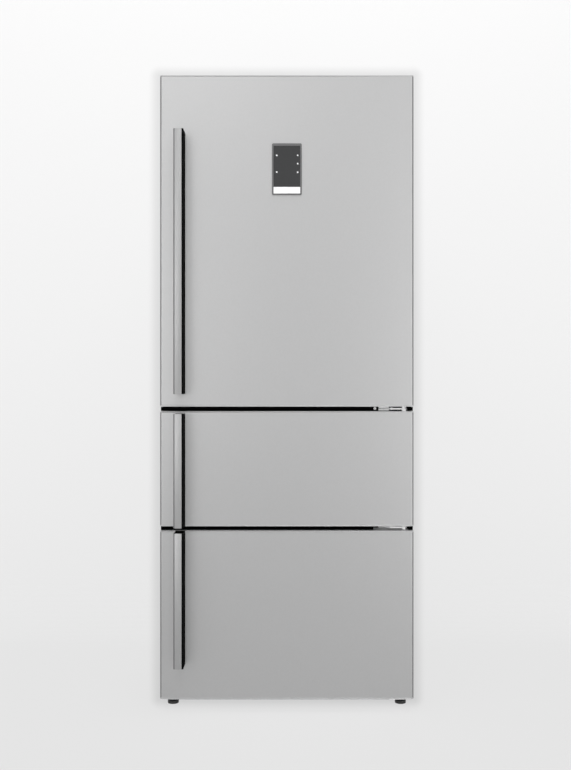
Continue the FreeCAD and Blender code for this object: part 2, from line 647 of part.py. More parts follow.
def base_frame():
    """Pressed floor with a front upstand, a foot channel, roller forks and the bay wall."""
    half = HALF_WIDTH - SHEET
    floor = block(-half, half, CABINET_FRONT + SHEET, CABINET_BACK, CABINET_BOTTOM, BASE_TOP)
    upstand = block(
        -FLANGE_HALF, FLANGE_HALF, CABINET_FRONT, CABINET_FRONT + BASE_SHEET, CABINET_BOTTOM, UPSTAND_TOP
    )
    rear = block(
        -half, half, CABINET_BACK - BASE_SHEET, CABINET_BACK, CABINET_BOTTOM, BASE_TOP + REAR_UPSTAND
    )
    wall = block(-half, half, BAY_FRONT - BASE_SHEET, BAY_FRONT, CABINET_BOTTOM, BAY_TOP)
    roof = block(-half, half, BAY_FRONT - BASE_SHEET, CABINET_BACK, BAY_TOP, BAY_TOP + BASE_SHEET)
    channel_front = FOOT_Y - CHANNEL_WIDTH / 2
    channel_back = FOOT_Y + CHANNEL_WIDTH / 2
    channel_half = half - CHANNEL_END_INSET
    channel = block(
        -channel_half, channel_half, channel_front, channel_back, CHANNEL_BOTTOM, CABINET_BOTTOM
    )
    hollow = block(
        -half, half, channel_front + BASE_SHEET, channel_back - BASE_SHEET,
        CHANNEL_BOTTOM + BASE_SHEET, CABINET_BOTTOM,
    )
    parts = [floor, upstand, rear, wall, roof, channel.cut(hollow), roller_fork(1), roller_fork(-1)]
    for x in (-FOOT_X, FOOT_X):
        nut_top = vec(x, FOOT_Y, BASE_TOP + FOOT_NUT_HEIGHT)
        parts.append(rod(FOOT_NUT_RADIUS, vec(x, FOOT_Y, CABINET_BOTTOM), nut_top))
    for x, y in compressor_feet():
        parts.append(rod(STUD_RADIUS, vec(x, y, CABINET_BOTTOM), vec(x, y, STUD_TOP)))
    frame = joined(parts)
    cuts = []
    for x in (-FOOT_X, FOOT_X):
        thread = FOOT_STEM_RADIUS + RUNNING_CLEARANCE
        cuts.append(rod(thread, vec(x, FOOT_Y, 0), vec(x, FOOT_Y, FOOT_STEM_TOP)))
    for index in range(VENT_SLOTS):
        x = VENT_FIRST_X + index * VENT_SLOT_PITCH
        cuts.append(soft_block(
            (
                x, x + VENT_SLOT_WIDTH,
                BAY_MIDDLE - VENT_SLOT_LENGTH / 2, BAY_MIDDLE + VENT_SLOT_LENGTH / 2,
                CABINET_BOTTOM - OVERRUN, BASE_TOP + OVERRUN,
            ),
            VENT_SLOT_WIDTH / 2 - RUNNING_CLEARANCE, Z_AXIS,
        ))
    cuts.append(rod(
        GLAND_BODY,
        vec(GLAND_X, CABINET_BACK - OVERRUN, GLAND_Z), vec(GLAND_X, CABINET_BACK + OVERRUN, GLAND_Z),
    ))
    return frame.cut(cuts + screw_pockets())


def mullion_rail(bottom, top):
    """Channel rail across the front between two compartments."""
    back = CABINET_FRONT + RAIL_LEG
    return prism(
        [
            (CABINET_FRONT, bottom), (back, bottom), (back, bottom + BASE_SHEET),
            (CABINET_FRONT + BASE_SHEET, bottom + BASE_SHEET), (CABINET_FRONT + BASE_SHEET, top - BASE_SHEET),
            (back, top - BASE_SHEET), (back, top), (CABINET_FRONT, top),
        ],
        "x", -FLANGE_HALF, FLANGE_HALF,
    )


def gap_nose(lower_door, upper_door):
    """Trim in one door gap, open underneath, with a bridge behind the hinge and a tip beyond its eye."""
    low = lower_door + NOSE_MARGIN
    high = upper_door - NOSE_MARGIN
    front = DOOR_FRONT + NOSE_SETBACK
    end = HALF_WIDTH - NOSE_INSET
    stop = FLANGE_LEFT - NOSE_PLAY
    trim = block(-end, stop, front, CABINET_FRONT, low, high)
    channel = block(
        BASE_SHEET - end, stop - BASE_SHEET, front + BASE_SHEET, CABINET_FRONT - BASE_SHEET,
        low - OVERRUN, high - BASE_SHEET,
    )
    bridge = block(
        FLANGE_RIGHT + NOSE_PLAY, end, CABINET_FRONT - BASE_SHEET, CABINET_FRONT, lower_door, upper_door
    )
    tip = block(PIN_X + HINGE_EYE + NOSE_EYE_PLAY, end, front, CABINET_FRONT, low, high)
    return [trim.cut(channel), bridge, tip]


def mullion_rails():
    """Lower and upper rail, each with its nose in the door gap."""
    lower = mullion_rail(LOWER_RAIL_BOTTOM, LOWER_RAIL_TOP).cut(screw_pockets())
    upper = mullion_rail(UPPER_RAIL_BOTTOM, UPPER_RAIL_TOP).cut(screw_pockets())
    return group([
        joined([lower] + gap_nose(FREEZER_DOOR_TOP, CHILL_DOOR_BOTTOM)),
        joined([upper] + gap_nose(CHILL_DOOR_TOP, FRIDGE_DOOR_BOTTOM)),
    ])


def cavity(inset, front, floor, ceiling):
    """Rounded hollow of one compartment, grown by an inset."""
    half = INNER_HALF + inset
    back = INNER_BACK + inset
    shape = block(-half, half, front, back, floor - inset, ceiling + inset)
    rim = [e for e in shape.Edges if e.CenterOfMass.y > front + LINER_RADIUS]
    return shape.makeFillet(LINER_RADIUS + inset, rim)


def step_block(inset):
    """Raised floor of the freezer above the compressor bay, reduced by an inset."""
    wide = HALF_WIDTH
    shape = block(
        -wide, wide, STEP_FRONT + inset, INNER_BACK + LINER_RADIUS,
        FREEZER_FLOOR - LINER_RADIUS, STEP_TOP - inset,
    )
    nose = [
        e for e in edges_along(shape, X_AXIS)
        if e.CenterOfMass.z > FREEZER_FLOOR and e.CenterOfMass.y < INNER_BACK
    ]
    return shape.makeFillet(LINER_RADIUS - inset, nose)


def liner_forms(floor, ceiling, flange_bottom, flange_top, stepped):
    """Filled outer form and hollow inner form of one liner."""
    outer = cavity(LINER_SHEET, CABINET_FRONT, floor, ceiling)
    inner = cavity(0, CABINET_FRONT - OVERRUN, floor, ceiling)
    if stepped:
        outer = outer.cut(step_block(LINER_SHEET))
        inner = inner.cut(step_block(0))
    flange = block(
        -FLANGE_HALF, FLANGE_HALF, CABINET_FRONT, CABINET_FRONT + LINER_SHEET, flange_bottom, flange_top
    )
    return outer.fuse(flange), inner


def side_ribs(inner, front, back, bottom, top):
    """Pair of straight support ribs on the side walls."""
    half = INNER_HALF + LINER_SHEET / 2
    rib = block(inner, half, front, back, bottom, top)
    return [rib, mirrored(rib)]


def runners(drawer_back, drawer_top):
    """Pair of ribs that a drawer's side flanges slide on."""
    top = drawer_top - DRAWER_LIP_DROP - DRAWER_FLANGE - SOFT_CLEARANCE
    return side_ribs(
        DRAWER_RUNNER_INNER, DRAWER_FACE + DRAWER_RUNNER_MARGIN, drawer_back, top - DRAWER_RUNNER_HEIGHT, top
    )


def fridge_forms():
    """Filled and hollow form of the fridge liner."""
    return liner_forms(FRIDGE_FLOOR, FRIDGE_CEILING, UPPER_RAIL_TOP, CABINET_TOP - FRONT_FLANGE, False)


def chill_forms():
    """Filled and hollow form of the chill liner."""
    return liner_forms(CHILL_FLOOR, CHILL_CEILING, LOWER_RAIL_TOP, UPPER_RAIL_BOTTOM, False)


def freezer_forms():
    """Filled and hollow form of the freezer liner."""
    return liner_forms(FREEZER_FLOOR, FREEZER_CEILING, UPSTAND_TOP, LOWER_RAIL_BOTTOM, True)


def fridge_liner():
    """Fridge liner with shelf ribs and crisper runners."""
    outer, inner = fridge_forms()
    ribs = runners(CRISPER_BACK, CRISPER_TOP)
    for height in SHELF_HEIGHTS:
        ribs += side_ribs(
            INNER_HALF - SHELF_RIB_WIDTH, SHELF_FRONT + SHELF_RIB_START, SHELF_BACK - SHELF_RIB_END,
            height - SHELF_RIB_HEIGHT, height,
        )
    return joined([outer.cut(inner)] + ribs)


def chill_liner():
    """Chill compartment liner with drawer runners."""
    outer, inner = chill_forms()
    return joined([outer.cut(inner)] + runners(CHILL_DRAWER_BACK, CHILL_DRAWER_TOP))


def freezer_liner():
    """Freezer liner with a step and two pairs of drawer runners."""
    outer, inner = freezer_forms()
    ribs = runners(UPPER_DRAWER_BACK, UPPER_DRAWER_TOP) + runners(LOWER_DRAWER_BACK, LOWER_DRAWER_TOP)
    return joined([outer.cut(inner)] + ribs)


def insulation_foam(rails):
    """Foam that fills the space between the wrap, the liners and the base."""
    core = cabinet_block(SHEET, CABINET_FRONT + SHEET, CABINET_BACK - SHEET, BASE_TOP)
    half = HALF_WIDTH
    bay = block(-half, half, BAY_FRONT, CABINET_BACK, CABINET_BOTTOM, BAY_TOP + BASE_SHEET)
    upstand = block(
        -FLANGE_HALF, FLANGE_HALF, CABINET_FRONT, CABINET_FRONT + BASE_SHEET, BASE_TOP, UPSTAND_TOP
    )
    wall = block(-half, half, BAY_FRONT - BASE_SHEET, BAY_FRONT, CABINET_BOTTOM, BAY_TOP + BASE_SHEET)
    pocket_top = FOOT_STEM_TOP + POCKET_MARGIN
    pockets = [
        rod(FOOT_NUT_RADIUS + POCKET_MARGIN, vec(x, FOOT_Y, CABINET_BOTTOM), vec(x, FOOT_Y, pocket_top))
        for x in (-FOOT_X, FOOT_X)
    ]
    forms = [fridge_forms()[0], chill_forms()[0], freezer_forms()[0]]
    return core.cut([bay, upstand, wall] + pockets + forms + list(rails.Solids) + screw_pockets())


# Hinges

def gap_middle(lower, upper):
    """Middle height of a door gap."""
    return (lower + upper) / 2


LOWER_GAP_Z = gap_middle(FREEZER_DOOR_TOP, CHILL_DOOR_BOTTOM)
UPPER_GAP_Z = gap_middle(CHILL_DOOR_TOP, FRIDGE_DOOR_BOTTOM)


def front_screws():
    """Places of the hinge screws in the front plane."""
    places = []
    for z in (BOTTOM_SCREW_Z, LOWER_GAP_Z, UPPER_GAP_Z):
        places += [(SCREW_LEFT, z), (SCREW_RIGHT, z)]
    return places


def hinge_arm(bottom, top, back):
    """Flat arm from the tongue to the round eye about the pin."""
    flange_face = CABINET_FRONT - HINGE_FLANGE
    outline = [
        (TONGUE_LEFT, back), (TONGUE_LEFT, flange_face - TONGUE_REACH),
        (TONGUE_RIGHT, PIN_Y - HINGE_EYE), (PIN_X, PIN_Y - HINGE_EYE), (PIN_X, PIN_Y + HINGE_EYE),
        (TONGUE_RIGHT, flange_face - TONGUE_REACH / 2), (TONGUE_RIGHT, back),
    ]
    eye = rod(HINGE_EYE, vec(PIN_X, PIN_Y, bottom), vec(PIN_X, PIN_Y, top))
    return joined([prism(outline, "z", bottom, top), eye])


def middle_hinge(lower_door, upper_door, flange_height):
    """Flange, arm, two collars and a through pin in one door gap."""
    z = gap_middle(lower_door, upper_door)
    low = z - HINGE_ARM / 2
    high = z + HINGE_ARM / 2
    flange = soft_block(
        (
            FLANGE_LEFT, FLANGE_RIGHT, CABINET_FRONT - HINGE_FLANGE, CABINET_FRONT,
            z - flange_height / 2, z + flange_height / 2,
        ),
        HINGE_FLANGE, Y_AXIS,
    )
    arm = hinge_arm(low, high, CABINET_FRONT - HINGE_FLANGE / 2)
    face = CABINET_FRONT - HINGE_FLANGE
    boss = block(
        TONGUE_LEFT, TONGUE_RIGHT, face - BOSS_REACH, face, lower_door + BOSS_MARGIN, upper_door - BOSS_MARGIN
    )
    collars = rod(
        HINGE_COLLAR, vec(PIN_X, PIN_Y, lower_door + RUNNING_CLEARANCE),
        vec(PIN_X, PIN_Y, upper_door - RUNNING_CLEARANCE),
    )
    pin = rod(
        PIN_RADIUS, vec(PIN_X, PIN_Y, lower_door - PIN_INSERT), vec(PIN_X, PIN_Y, upper_door + PIN_INSERT)
    )
    return joined([flange, arm, boss, collars, pin]).cut(screw_holes((z,)))


def screw_holes(heights):
    """Clearance holes of the flange screws at some heights."""
    back = CABINET_FRONT + OVERRUN
    return [
        rod(SCREW_SHANK_RADIUS, vec(x, CABINET_FRONT - HINGE_FLANGE - OVERRUN, z), vec(x, back, z))
        for z in heights for x in (SCREW_LEFT, SCREW_RIGHT)
    ]


def middle_hinges():
    """The two middle hinges."""
    return group([
        middle_hinge(FREEZER_DOOR_TOP, CHILL_DOOR_BOTTOM, LOWER_FLANGE_HEIGHT),
        middle_hinge(CHILL_DOOR_TOP, FRIDGE_DOOR_BOTTOM, UPPER_FLANGE_HEIGHT),
    ])


def bottom_hinge():
    """Angle bracket under the lowest door with a collar and a pin."""
    top = DOOR_BOTTOM - HINGE_ARM
    bottom = top - HINGE_ARM
    flange = soft_block(
        (FLANGE_LEFT, FLANGE_RIGHT, CABINET_FRONT - HINGE_FLANGE, CABINET_FRONT, bottom, BOTTOM_FLANGE_TOP),
        HINGE_FLANGE, Y_AXIS,
    )
    arm = hinge_arm(bottom, top, CABINET_FRONT - HINGE_FLANGE / 2)
    collar = rod(HINGE_COLLAR, vec(PIN_X, PIN_Y, bottom), vec(PIN_X, PIN_Y, DOOR_BOTTOM - RUNNING_CLEARANCE))
    pin = rod(PIN_RADIUS, vec(PIN_X, PIN_Y, bottom), vec(PIN_X, PIN_Y, DOOR_BOTTOM + PIN_INSERT))
    return joined([flange, arm, collar, pin]).cut(screw_holes((BOTTOM_SCREW_Z,)))


def top_screws():
    """Places of the screws in the top plate."""
    return [
        (x, CABINET_FRONT + y)
        for x in (TOP_SCREW_LEFT, TOP_SCREW_RIGHT) for y in (TOP_SCREW_FRONT, TOP_SCREW_BACK)
    ]


def top_hinge():
    """Flat plate on the cabinet top that reaches over the door, with its pin."""
    low = CABINET_TOP
    high = low + TOP_PLATE_SHEET
    outline = [
        (TOP_PLATE_LEFT, CABINET_FRONT + TOP_PLATE_BACK), (TOP_PLATE_LEFT, CABINET_FRONT + HOOD_FRONT),
        (TOP_NECK_LEFT, CABINET_FRONT), (PIN_X - HINGE_EYE, PIN_Y), (PIN_X + HINGE_EYE, PIN_Y),
        (TOP_PLATE_RIGHT, CABINET_FRONT), (TOP_PLATE_RIGHT, CABINET_FRONT + TOP_PLATE_BACK),
    ]
    plate = prism(outline, "z", low, high)
    eye = rod(HINGE_EYE, vec(PIN_X, PIN_Y, low), vec(PIN_X, PIN_Y, high))
    pin_low = FRIDGE_DOOR_TOP - PIN_INSERT
    pin = rod(PIN_RADIUS, vec(PIN_X, PIN_Y, pin_low), vec(PIN_X, PIN_Y, high + BASE_SHEET))
    holes = [
        rod(SCREW_SHANK_RADIUS, vec(x, y, low - OVERRUN), vec(x, y, high + OVERRUN)) for x, y in top_screws()
    ]
    return joined([plate, eye, pin]).cut(holes)


def top_hinge_cover():
    """Moulded hood over the plate on the cabinet top."""
    front = CABINET_FRONT + HOOD_FRONT
    back = CABINET_FRONT + HOOD_BACK
    top = CABINET_TOP + HOOD_HEIGHT
    hood = soft_block((HOOD_LEFT, HOOD_RIGHT, front, back, CABINET_TOP, top), HOOD_CORNER, Z_AXIS)
    crown = [e for e in hood.Edges if e.CenterOfMass.z > top - HOOD_WALL]
    hood = hood.makeFillet(HOOD_TOP_EDGE, crown)
    hollow = soft_block(
        (
            HOOD_LEFT + HOOD_WALL, HOOD_RIGHT - HOOD_WALL, front + HOOD_WALL, back - HOOD_WALL,
            CABINET_TOP - OVERRUN, top - HOOD_WALL,
        ),
        HOOD_CORNER - HOOD_WALL, Z_AXIS,
    )
    mouth = block(
        TOP_PLATE_LEFT, TOP_PLATE_RIGHT, front - OVERRUN, front + OVERRUN,
        CABINET_TOP - OVERRUN, CABINET_TOP + TOP_PLATE_SHEET,
    )
    return hood.cut([hollow, mouth])


def screw_pockets():
    """Holes of all hinge screws behind the hinge plates."""
    fronts = [
        rod(SCREW_SHANK_RADIUS, vec(x, CABINET_FRONT, z), vec(x, CABINET_FRONT + SCREW_SHANK, z))
        for x, z in front_screws()
    ]
    tops = [
        rod(SCREW_SHANK_RADIUS, vec(x, y, CABINET_TOP), vec(x, y, CABINET_TOP - SCREW_SHANK))
        for x, y in top_screws()
    ]
    return fronts + tops


def screw(head_face, inward):
    """Pan head screw with a round drive recess, seated at a point and driven along an axis."""
    profile = [
        (0, SCREW_DRIVE_DEPTH - SCREW_HEAD), (SCREW_DRIVE_RADIUS, SCREW_DRIVE_DEPTH - SCREW_HEAD),
        (SCREW_DRIVE_RADIUS, -SCREW_HEAD), (SCREW_HEAD_RADIUS - SCREW_DRIVE_DEPTH, -SCREW_HEAD),
        (SCREW_HEAD_RADIUS, SCREW_DRIVE_DEPTH - SCREW_HEAD), (SCREW_HEAD_RADIUS, 0),
        (SCREW_SHANK_RADIUS, 0), (SCREW_SHANK_RADIUS, HINGE_FLANGE + SCREW_SHANK),
        (0, HINGE_FLANGE + SCREW_SHANK),
    ]
    return turned(profile, head_face, inward)


def hinge_screws():
    """All hinge screws."""
    face = CABINET_FRONT - HINGE_FLANGE
    fronts = [screw(vec(x, face, z), Y_AXIS) for x, z in front_screws()]
    tops = [screw(vec(x, y, CABINET_TOP + TOP_PLATE_SHEET), -Z_AXIS) for x, y in top_screws()]
    return group(fronts + tops)


# Doors

def door_block(inset, bottom, top):
    """Door form with rounded upright edges, inset from the outer faces."""
    half = HALF_WIDTH - inset
    shape = block(-half, half, DOOR_FRONT + inset, DOOR_BACK - inset, bottom, top)
    upright = edges_along(shape, Z_AXIS)
    middle = gap_middle(DOOR_FRONT, DOOR_BACK)
    front = [e for e in upright if e.CenterOfMass.y < middle]
    shape = shape.makeFillet(SKIN_FRONT_RADIUS - inset, front)
    back = [
        e for e in edges_along(shape, Z_AXIS)
        if e.CenterOfMass.y > DOOR_BACK - inset - SHEET / 2 and abs(e.CenterOfMass.x) > half - SHEET / 2
    ]
    return shape.makeFillet(SKIN_BACK_RADIUS - inset, back)


def door_skin(bottom, top):
    """Folded sheet round the front, both sides and the rear edges."""
    low = bottom + CAP_EDGE
    high = top - CAP_EDGE
    hollow = door_block(SHEET, low - OVERRUN, high + OVERRUN)
    half = HALF_WIDTH - SKIN_RETURN
    mouth = block(
        -half, half, DOOR_BACK - SHEET - OVERRUN, DOOR_BACK + OVERRUN, low - OVERRUN, high + OVERRUN
    )
    return door_block(0, low, high).cut([hollow, mouth])


def door_cap(face, inward):
    """End cap with a plug rim and a hinge bush; face is its outer height, inward is +1 or -1."""
    edge = face + inward * CAP_EDGE
    deep = edge + inward * CAP_RIM_DEPTH
    plate = door_block(0, min(face, edge), max(face, edge))
    half = HALF_WIDTH - SHEET
    front = DOOR_FRONT + SHEET
    back = DOOR_BACK - PANEL_SHEET
    low, high = min(edge, deep), max(edge, deep)
    radius = SKIN_FRONT_RADIUS - SHEET
    outside = soft_block((-half, half, front, back, low, high), radius, Z_AXIS)
    inside = block(
        -half + CAP_RIM_WALL, half - CAP_RIM_WALL, front + CAP_RIM_WALL, back - CAP_RIM_WALL,
        low - OVERRUN, high + OVERRUN,
    )
    end = face + inward * (PIN_INSERT + BUSH_FLOOR)
    bush = rod(PIN_RADIUS + BUSH_WALL, vec(PIN_X, PIN_Y, face), vec(PIN_X, PIN_Y, end))
    bore = rod(
        PIN_RADIUS + RUNNING_CLEARANCE, vec(PIN_X, PIN_Y, face - inward * OVERRUN),
        vec(PIN_X, PIN_Y, face + inward * PIN_INSERT),
    )
    return joined([plate, outside.cut(inside), bush]).cut(bore)


def door_caps(bottom, top):
    """Bottom and top cap of one door."""
    return group([door_cap(bottom, 1), door_cap(top, -1)])


def dike_ring(inset, front, back, low, high):
    """Raised ring on the inner panel, reduced by an inset."""
    half = HALF_WIDTH - DIKE_INSET - inset
    outside = soft_block((-half, half, front, back, low + inset, high - inset), DIKE_CORNER - inset, Y_AXIS)
    width = DIKE_WIDTH - 2 * inset
    margin = inset + width
    inside = soft_block(
        (-half + width, half - width, front - OVERRUN, back + OVERRUN, low + margin, high - margin),
        DIKE_CORNER - inset, Y_AXIS,
    )
    return outside.cut(inside)


def door_panel(bottom, top, low, high):
    """Formed inner panel with a hollow dike."""
    half = HALF_WIDTH - SKIN_RETURN
    front = DOOR_BACK - PANEL_SHEET
    plate = block(-half, half, front, DOOR_BACK, bottom + CAP_EDGE, top - CAP_EDGE)
    ring = dike_ring(0, front, DOOR_BACK + DIKE_HEIGHT, low, high)
    hollow = dike_ring(PANEL_SHEET, front - OVERRUN, DOOR_BACK + DIKE_HEIGHT - PANEL_SHEET, low, high)
    return joined([plate, ring]).cut(hollow)


def door_foam(bottom, top, low, high, caps):
    """Foam core of one door, with the filling of the dike."""
    core = door_block(SHEET, bottom + CAP_EDGE, top - CAP_EDGE)
    front = DOOR_BACK - PANEL_SHEET
    plate = block(-HALF_WIDTH, HALF_WIDTH, front, DOOR_BACK, bottom, top)
    bushes = [
        rod(PIN_RADIUS + BUSH_WALL, vec(PIN_X, PIN_Y, low_end), vec(PIN_X, PIN_Y, high_end))
        for low_end, high_end in (
            (bottom, bottom + PIN_INSERT + BUSH_FLOOR), (top - PIN_INSERT - BUSH_FLOOR, top)
        )
    ]
    filling = dike_ring(
        PANEL_SHEET, front - PANEL_SHEET, DOOR_BACK + DIKE_HEIGHT - PANEL_SHEET, low, high
    )
    return joined([core.cut([plate] + bushes + list(caps.Solids)), filling])


def ring_layer(bounds, inset, front, back):
    """One rectangular ring of the gasket."""
    half, low, high = bounds
    outer = half - inset
    inner = half - GASKET_WIDTH + inset
    outside = block(-outer, outer, front, back, low + inset, high - inset)
    width = GASKET_WIDTH - inset
    inside = block(-inner, inner, front - OVERRUN, back + OVERRUN, low + width, high - width)
    return outside.cut(inside)


def gasket(low, high):
    """Bellows seal with a base, a neck and a magnet head, just short of the cabinet."""
    bounds = (HALF_WIDTH - GASKET_INSET, low, high)
    neck_front = DOOR_BACK + GASKET_BASE
    neck_back = neck_front + GASKET_NECK
    return joined([
        ring_layer(bounds, 0, DOOR_BACK, neck_front),
        ring_layer(bounds, GASKET_GROOVE, neck_front, neck_back),
        ring_layer(bounds, 0, neck_back, CABINET_FRONT - SOFT_CLEARANCE),
    ])


def handle_outline():
    """Closed handle section with a crowned front and a rounded outer edge, on the floor plane."""
    left = HANDLE_LEFT
    right = HANDLE_LEFT + HANDLE_WIDTH
    shoulder = DOOR_FRONT - HANDLE_DEPTH + HANDLE_CROWN
    turn = left + HANDLE_CORNER
    flank = shoulder + HANDLE_CORNER
    slant = HANDLE_CORNER * (1 - math.sqrt(1 / 2))
    corner = Part.Arc(vec(left, flank, 0), vec(left + slant, shoulder + slant, 0), vec(turn, shoulder, 0))
    crown = Part.Arc(
        vec(turn, shoulder, 0), vec((turn + right) / 2, DOOR_FRONT - HANDLE_DEPTH, 0), vec(right, shoulder, 0)
    )
    return [
        Part.makeLine(vec(left, DOOR_FRONT, 0), vec(left, flank, 0)),
        corner.toShape(),
        crown.toShape(),
        Part.makeLine(vec(right, shoulder, 0), vec(right, DOOR_FRONT, 0)),
        Part.makeLine(vec(right, DOOR_FRONT, 0), vec(left, DOOR_FRONT, 0)),
    ]


def handle_body(bottom, top):
    """Solid handle form between two heights."""
    face = Part.Face(Part.Wire(handle_outline()))
    body = face.extrude(vec(0, 0, top - bottom))
    return moved(body, 0, 0, bottom)


def handle_cover(bottom, top):
    """Aluminium cover over the front and the outer side."""
    body = handle_body(bottom, top)
    core = block(
        HANDLE_LEFT + COVER_SHEET, HANDLE_LEFT + HANDLE_WIDTH + OVERRUN, GRIP_FACE, DOOR_FRONT + OVERRUN,
        bottom - OVERRUN, top + OVERRUN,
    )
    return body.cut(core)


def handle_grip(bottom, top):
    """Black grip, open towards the hinge side, with a closed top and bottom."""
    left = HANDLE_LEFT + COVER_SHEET
    right = HANDLE_LEFT + HANDLE_WIDTH
    front = GRIP_FACE
    wall = front + GRIP_FRONT
    lip = right - GRIP_LIP_WIDTH
    channel = prism(
        [
            (left, DOOR_FRONT), (left, front), (right, front), (right, wall + GRIP_LIP),
            (lip, wall + GRIP_LIP), (lip, wall), (left + GRIP_WEB, wall),
            (left + GRIP_WEB, DOOR_FRONT - GRIP_BASE), (right, DOOR_FRONT - GRIP_BASE), (right, DOOR_FRONT),
        ],
        "z", bottom, top,
    )
    ends = [
        block(left, right, front, DOOR_FRONT, low, low + HANDLE_END) for low in (bottom, top - HANDLE_END)
    ]
    return joined([channel] + ends)


# Display

def display_frame():
    """Thin bezel with a floor and two pockets."""
    half = DISPLAY_WIDTH / 2
    front = DOOR_FRONT - DISPLAY_DEPTH
    body = soft_block(
        (-half, half, front, DOOR_FRONT, DISPLAY_BOTTOM, DISPLAY_TOP), DISPLAY_CORNER, Y_AXIS
    )
    wide = GLASS_HALF_WIDTH
    pocket = block(-wide, wide, front - OVERRUN, DOOR_FRONT - DISPLAY_FLOOR, STRIP_BOTTOM, GLASS_TOP)
    return body.cut(pocket)


def display_insert(bottom, top, proud):
    """Flat insert in the bezel."""
    half = GLASS_HALF_WIDTH - DISPLAY_PLAY
    back = DOOR_FRONT - DISPLAY_FLOOR
    return block(-half, half, back - proud, back, bottom, top)


# Door balconies

def balcony(bottom, height):
    """Door tray with a raised rear rail and two hooks that sit on the panel's lugs."""
    half = BALCONY_HALF_WIDTH
    front = DOOR_BACK + BALCONY_STANDOFF
    back = DOOR_BACK + BALCONY_REACH
    top = bottom + height
    tray = block(-half, half, front, back, bottom, top)
    corners = [e for e in edges_along(tray, Z_AXIS) if e.CenterOfMass.y > front + BALCONY_WALL]
    tray = tray.makeFillet(BALCONY_CORNER, corners)
    hollow = block(
        -half + BALCONY_WALL, half - BALCONY_WALL, front + BALCONY_WALL, back - BALCONY_WALL,
        bottom + BALCONY_WALL, top + OVERRUN,
    )
    corners = [e for e in edges_along(hollow, Z_AXIS) if e.CenterOfMass.y > gap_middle(front, back)]
    hollow = hollow.makeFillet(BALCONY_CORNER - BALCONY_WALL, corners)
    straight = half - BALCONY_CORNER
    notch = block(
        -straight, straight, front - OVERRUN, front + BALCONY_WALL + OVERRUN,
        top - BALCONY_BACK_DROP, top + OVERRUN,
    )
    rail = block(-straight, straight, back - BALCONY_RAIL, back, top - BALCONY_RAIL, top)
    low = bottom + LUG_RISE + LUG_HEIGHT
    hook = block(
        half - BALCONY_WALL, half + LUG_WIDTH, DOOR_BACK, DOOR_BACK + LUG_DEPTH, low, low + LUG_HOOK
    )
    return joined([tray.cut([hollow, notch]), rail, hook, mirrored(hook)])


def balcony_lugs():
    """Lugs on the inner side of the dike that carry the balconies."""
    lugs = []
    inner = BALCONY_HALF_WIDTH + LUG_PLAY
    outer = HALF_WIDTH - DIKE_INSET - DIKE_WIDTH + PANEL_SHEET / 2
    for bottom in BALCONY_BOTTOMS:
        low = bottom + LUG_RISE
        lug = block(inner, outer, DOOR_BACK, DOOR_BACK + LUG_DEPTH, low, low + LUG_HEIGHT)
        lugs += [lug, mirrored(lug)]
    return lugs


# Drawers

def rounded_wire(half, front, back, radius, z):
    """Rounded rectangle at one height."""
    sheet = soft_block((-half, half, front, back, z, z + SHEET), radius, Z_AXIS)
    lowest = [f for f in sheet.Faces if abs(f.CenterOfMass.z - z) < SHEET / OVERRUN]
    return lowest[0].OuterWire


def tub(half, front, back, bottom, top, taper, radius):
    """Drafted tub form, narrower at the bottom."""
    low = rounded_wire(half - taper, front + taper, back - taper, radius, bottom)
    high = rounded_wire(half, front, back, radius, top)
    return Part.makeLoft([low, high], True, True)


def drawer(bottom, top, back):
    """Drafted drawer with side flanges, a front panel and a finger scoop."""
    rim = top - DRAWER_LIP_DROP
    inside_front = DRAWER_FACE + DRAWER_FRONT
    outside = tub(
        DRAWER_TUB_HALF, DRAWER_FACE + SHEET, back - DRAWER_FLANGE, bottom, rim, DRAWER_TAPER, DRAWER_CORNER
    )
    inside = tub(
        DRAWER_TUB_HALF - DRAWER_WALL, inside_front, back - DRAWER_FLANGE - DRAWER_WALL,
        bottom + DRAWER_WALL, rim + OVERRUN, DRAWER_TAPER, DRAWER_CORNER - DRAWER_WALL,
    )
    flange = soft_block(
        (-DRAWER_HALF_WIDTH, DRAWER_HALF_WIDTH, DRAWER_FACE + SHEET, back, rim - DRAWER_FLANGE, rim),
        DRAWER_WALL, Z_AXIS,
    )
    face = soft_block(
        (-DRAWER_HALF_WIDTH, DRAWER_HALF_WIDTH, DRAWER_FACE, inside_front, bottom, top), DRAWER_WALL, Y_AXIS
    )
    scoop = soft_block(
        (
            -SCOOP_HALF_WIDTH, SCOOP_HALF_WIDTH, DRAWER_FACE - OVERRUN, inside_front + OVERRUN,
            top - SCOOP_DEPTH, top + SCOOP_DEPTH,
        ),
        SCOOP_CORNER, Y_AXIS,
    )
    return joined([outside, flange, face]).cut([inside, scoop])


# Shelves

def shelf_panes():
    """Glass panes on their ribs."""
    half = SHELF_HALF_WIDTH
    return group([block(-half, half, SHELF_FRONT, SHELF_BACK, z, z + SHELF_GLASS) for z in SHELF_HEIGHTS])


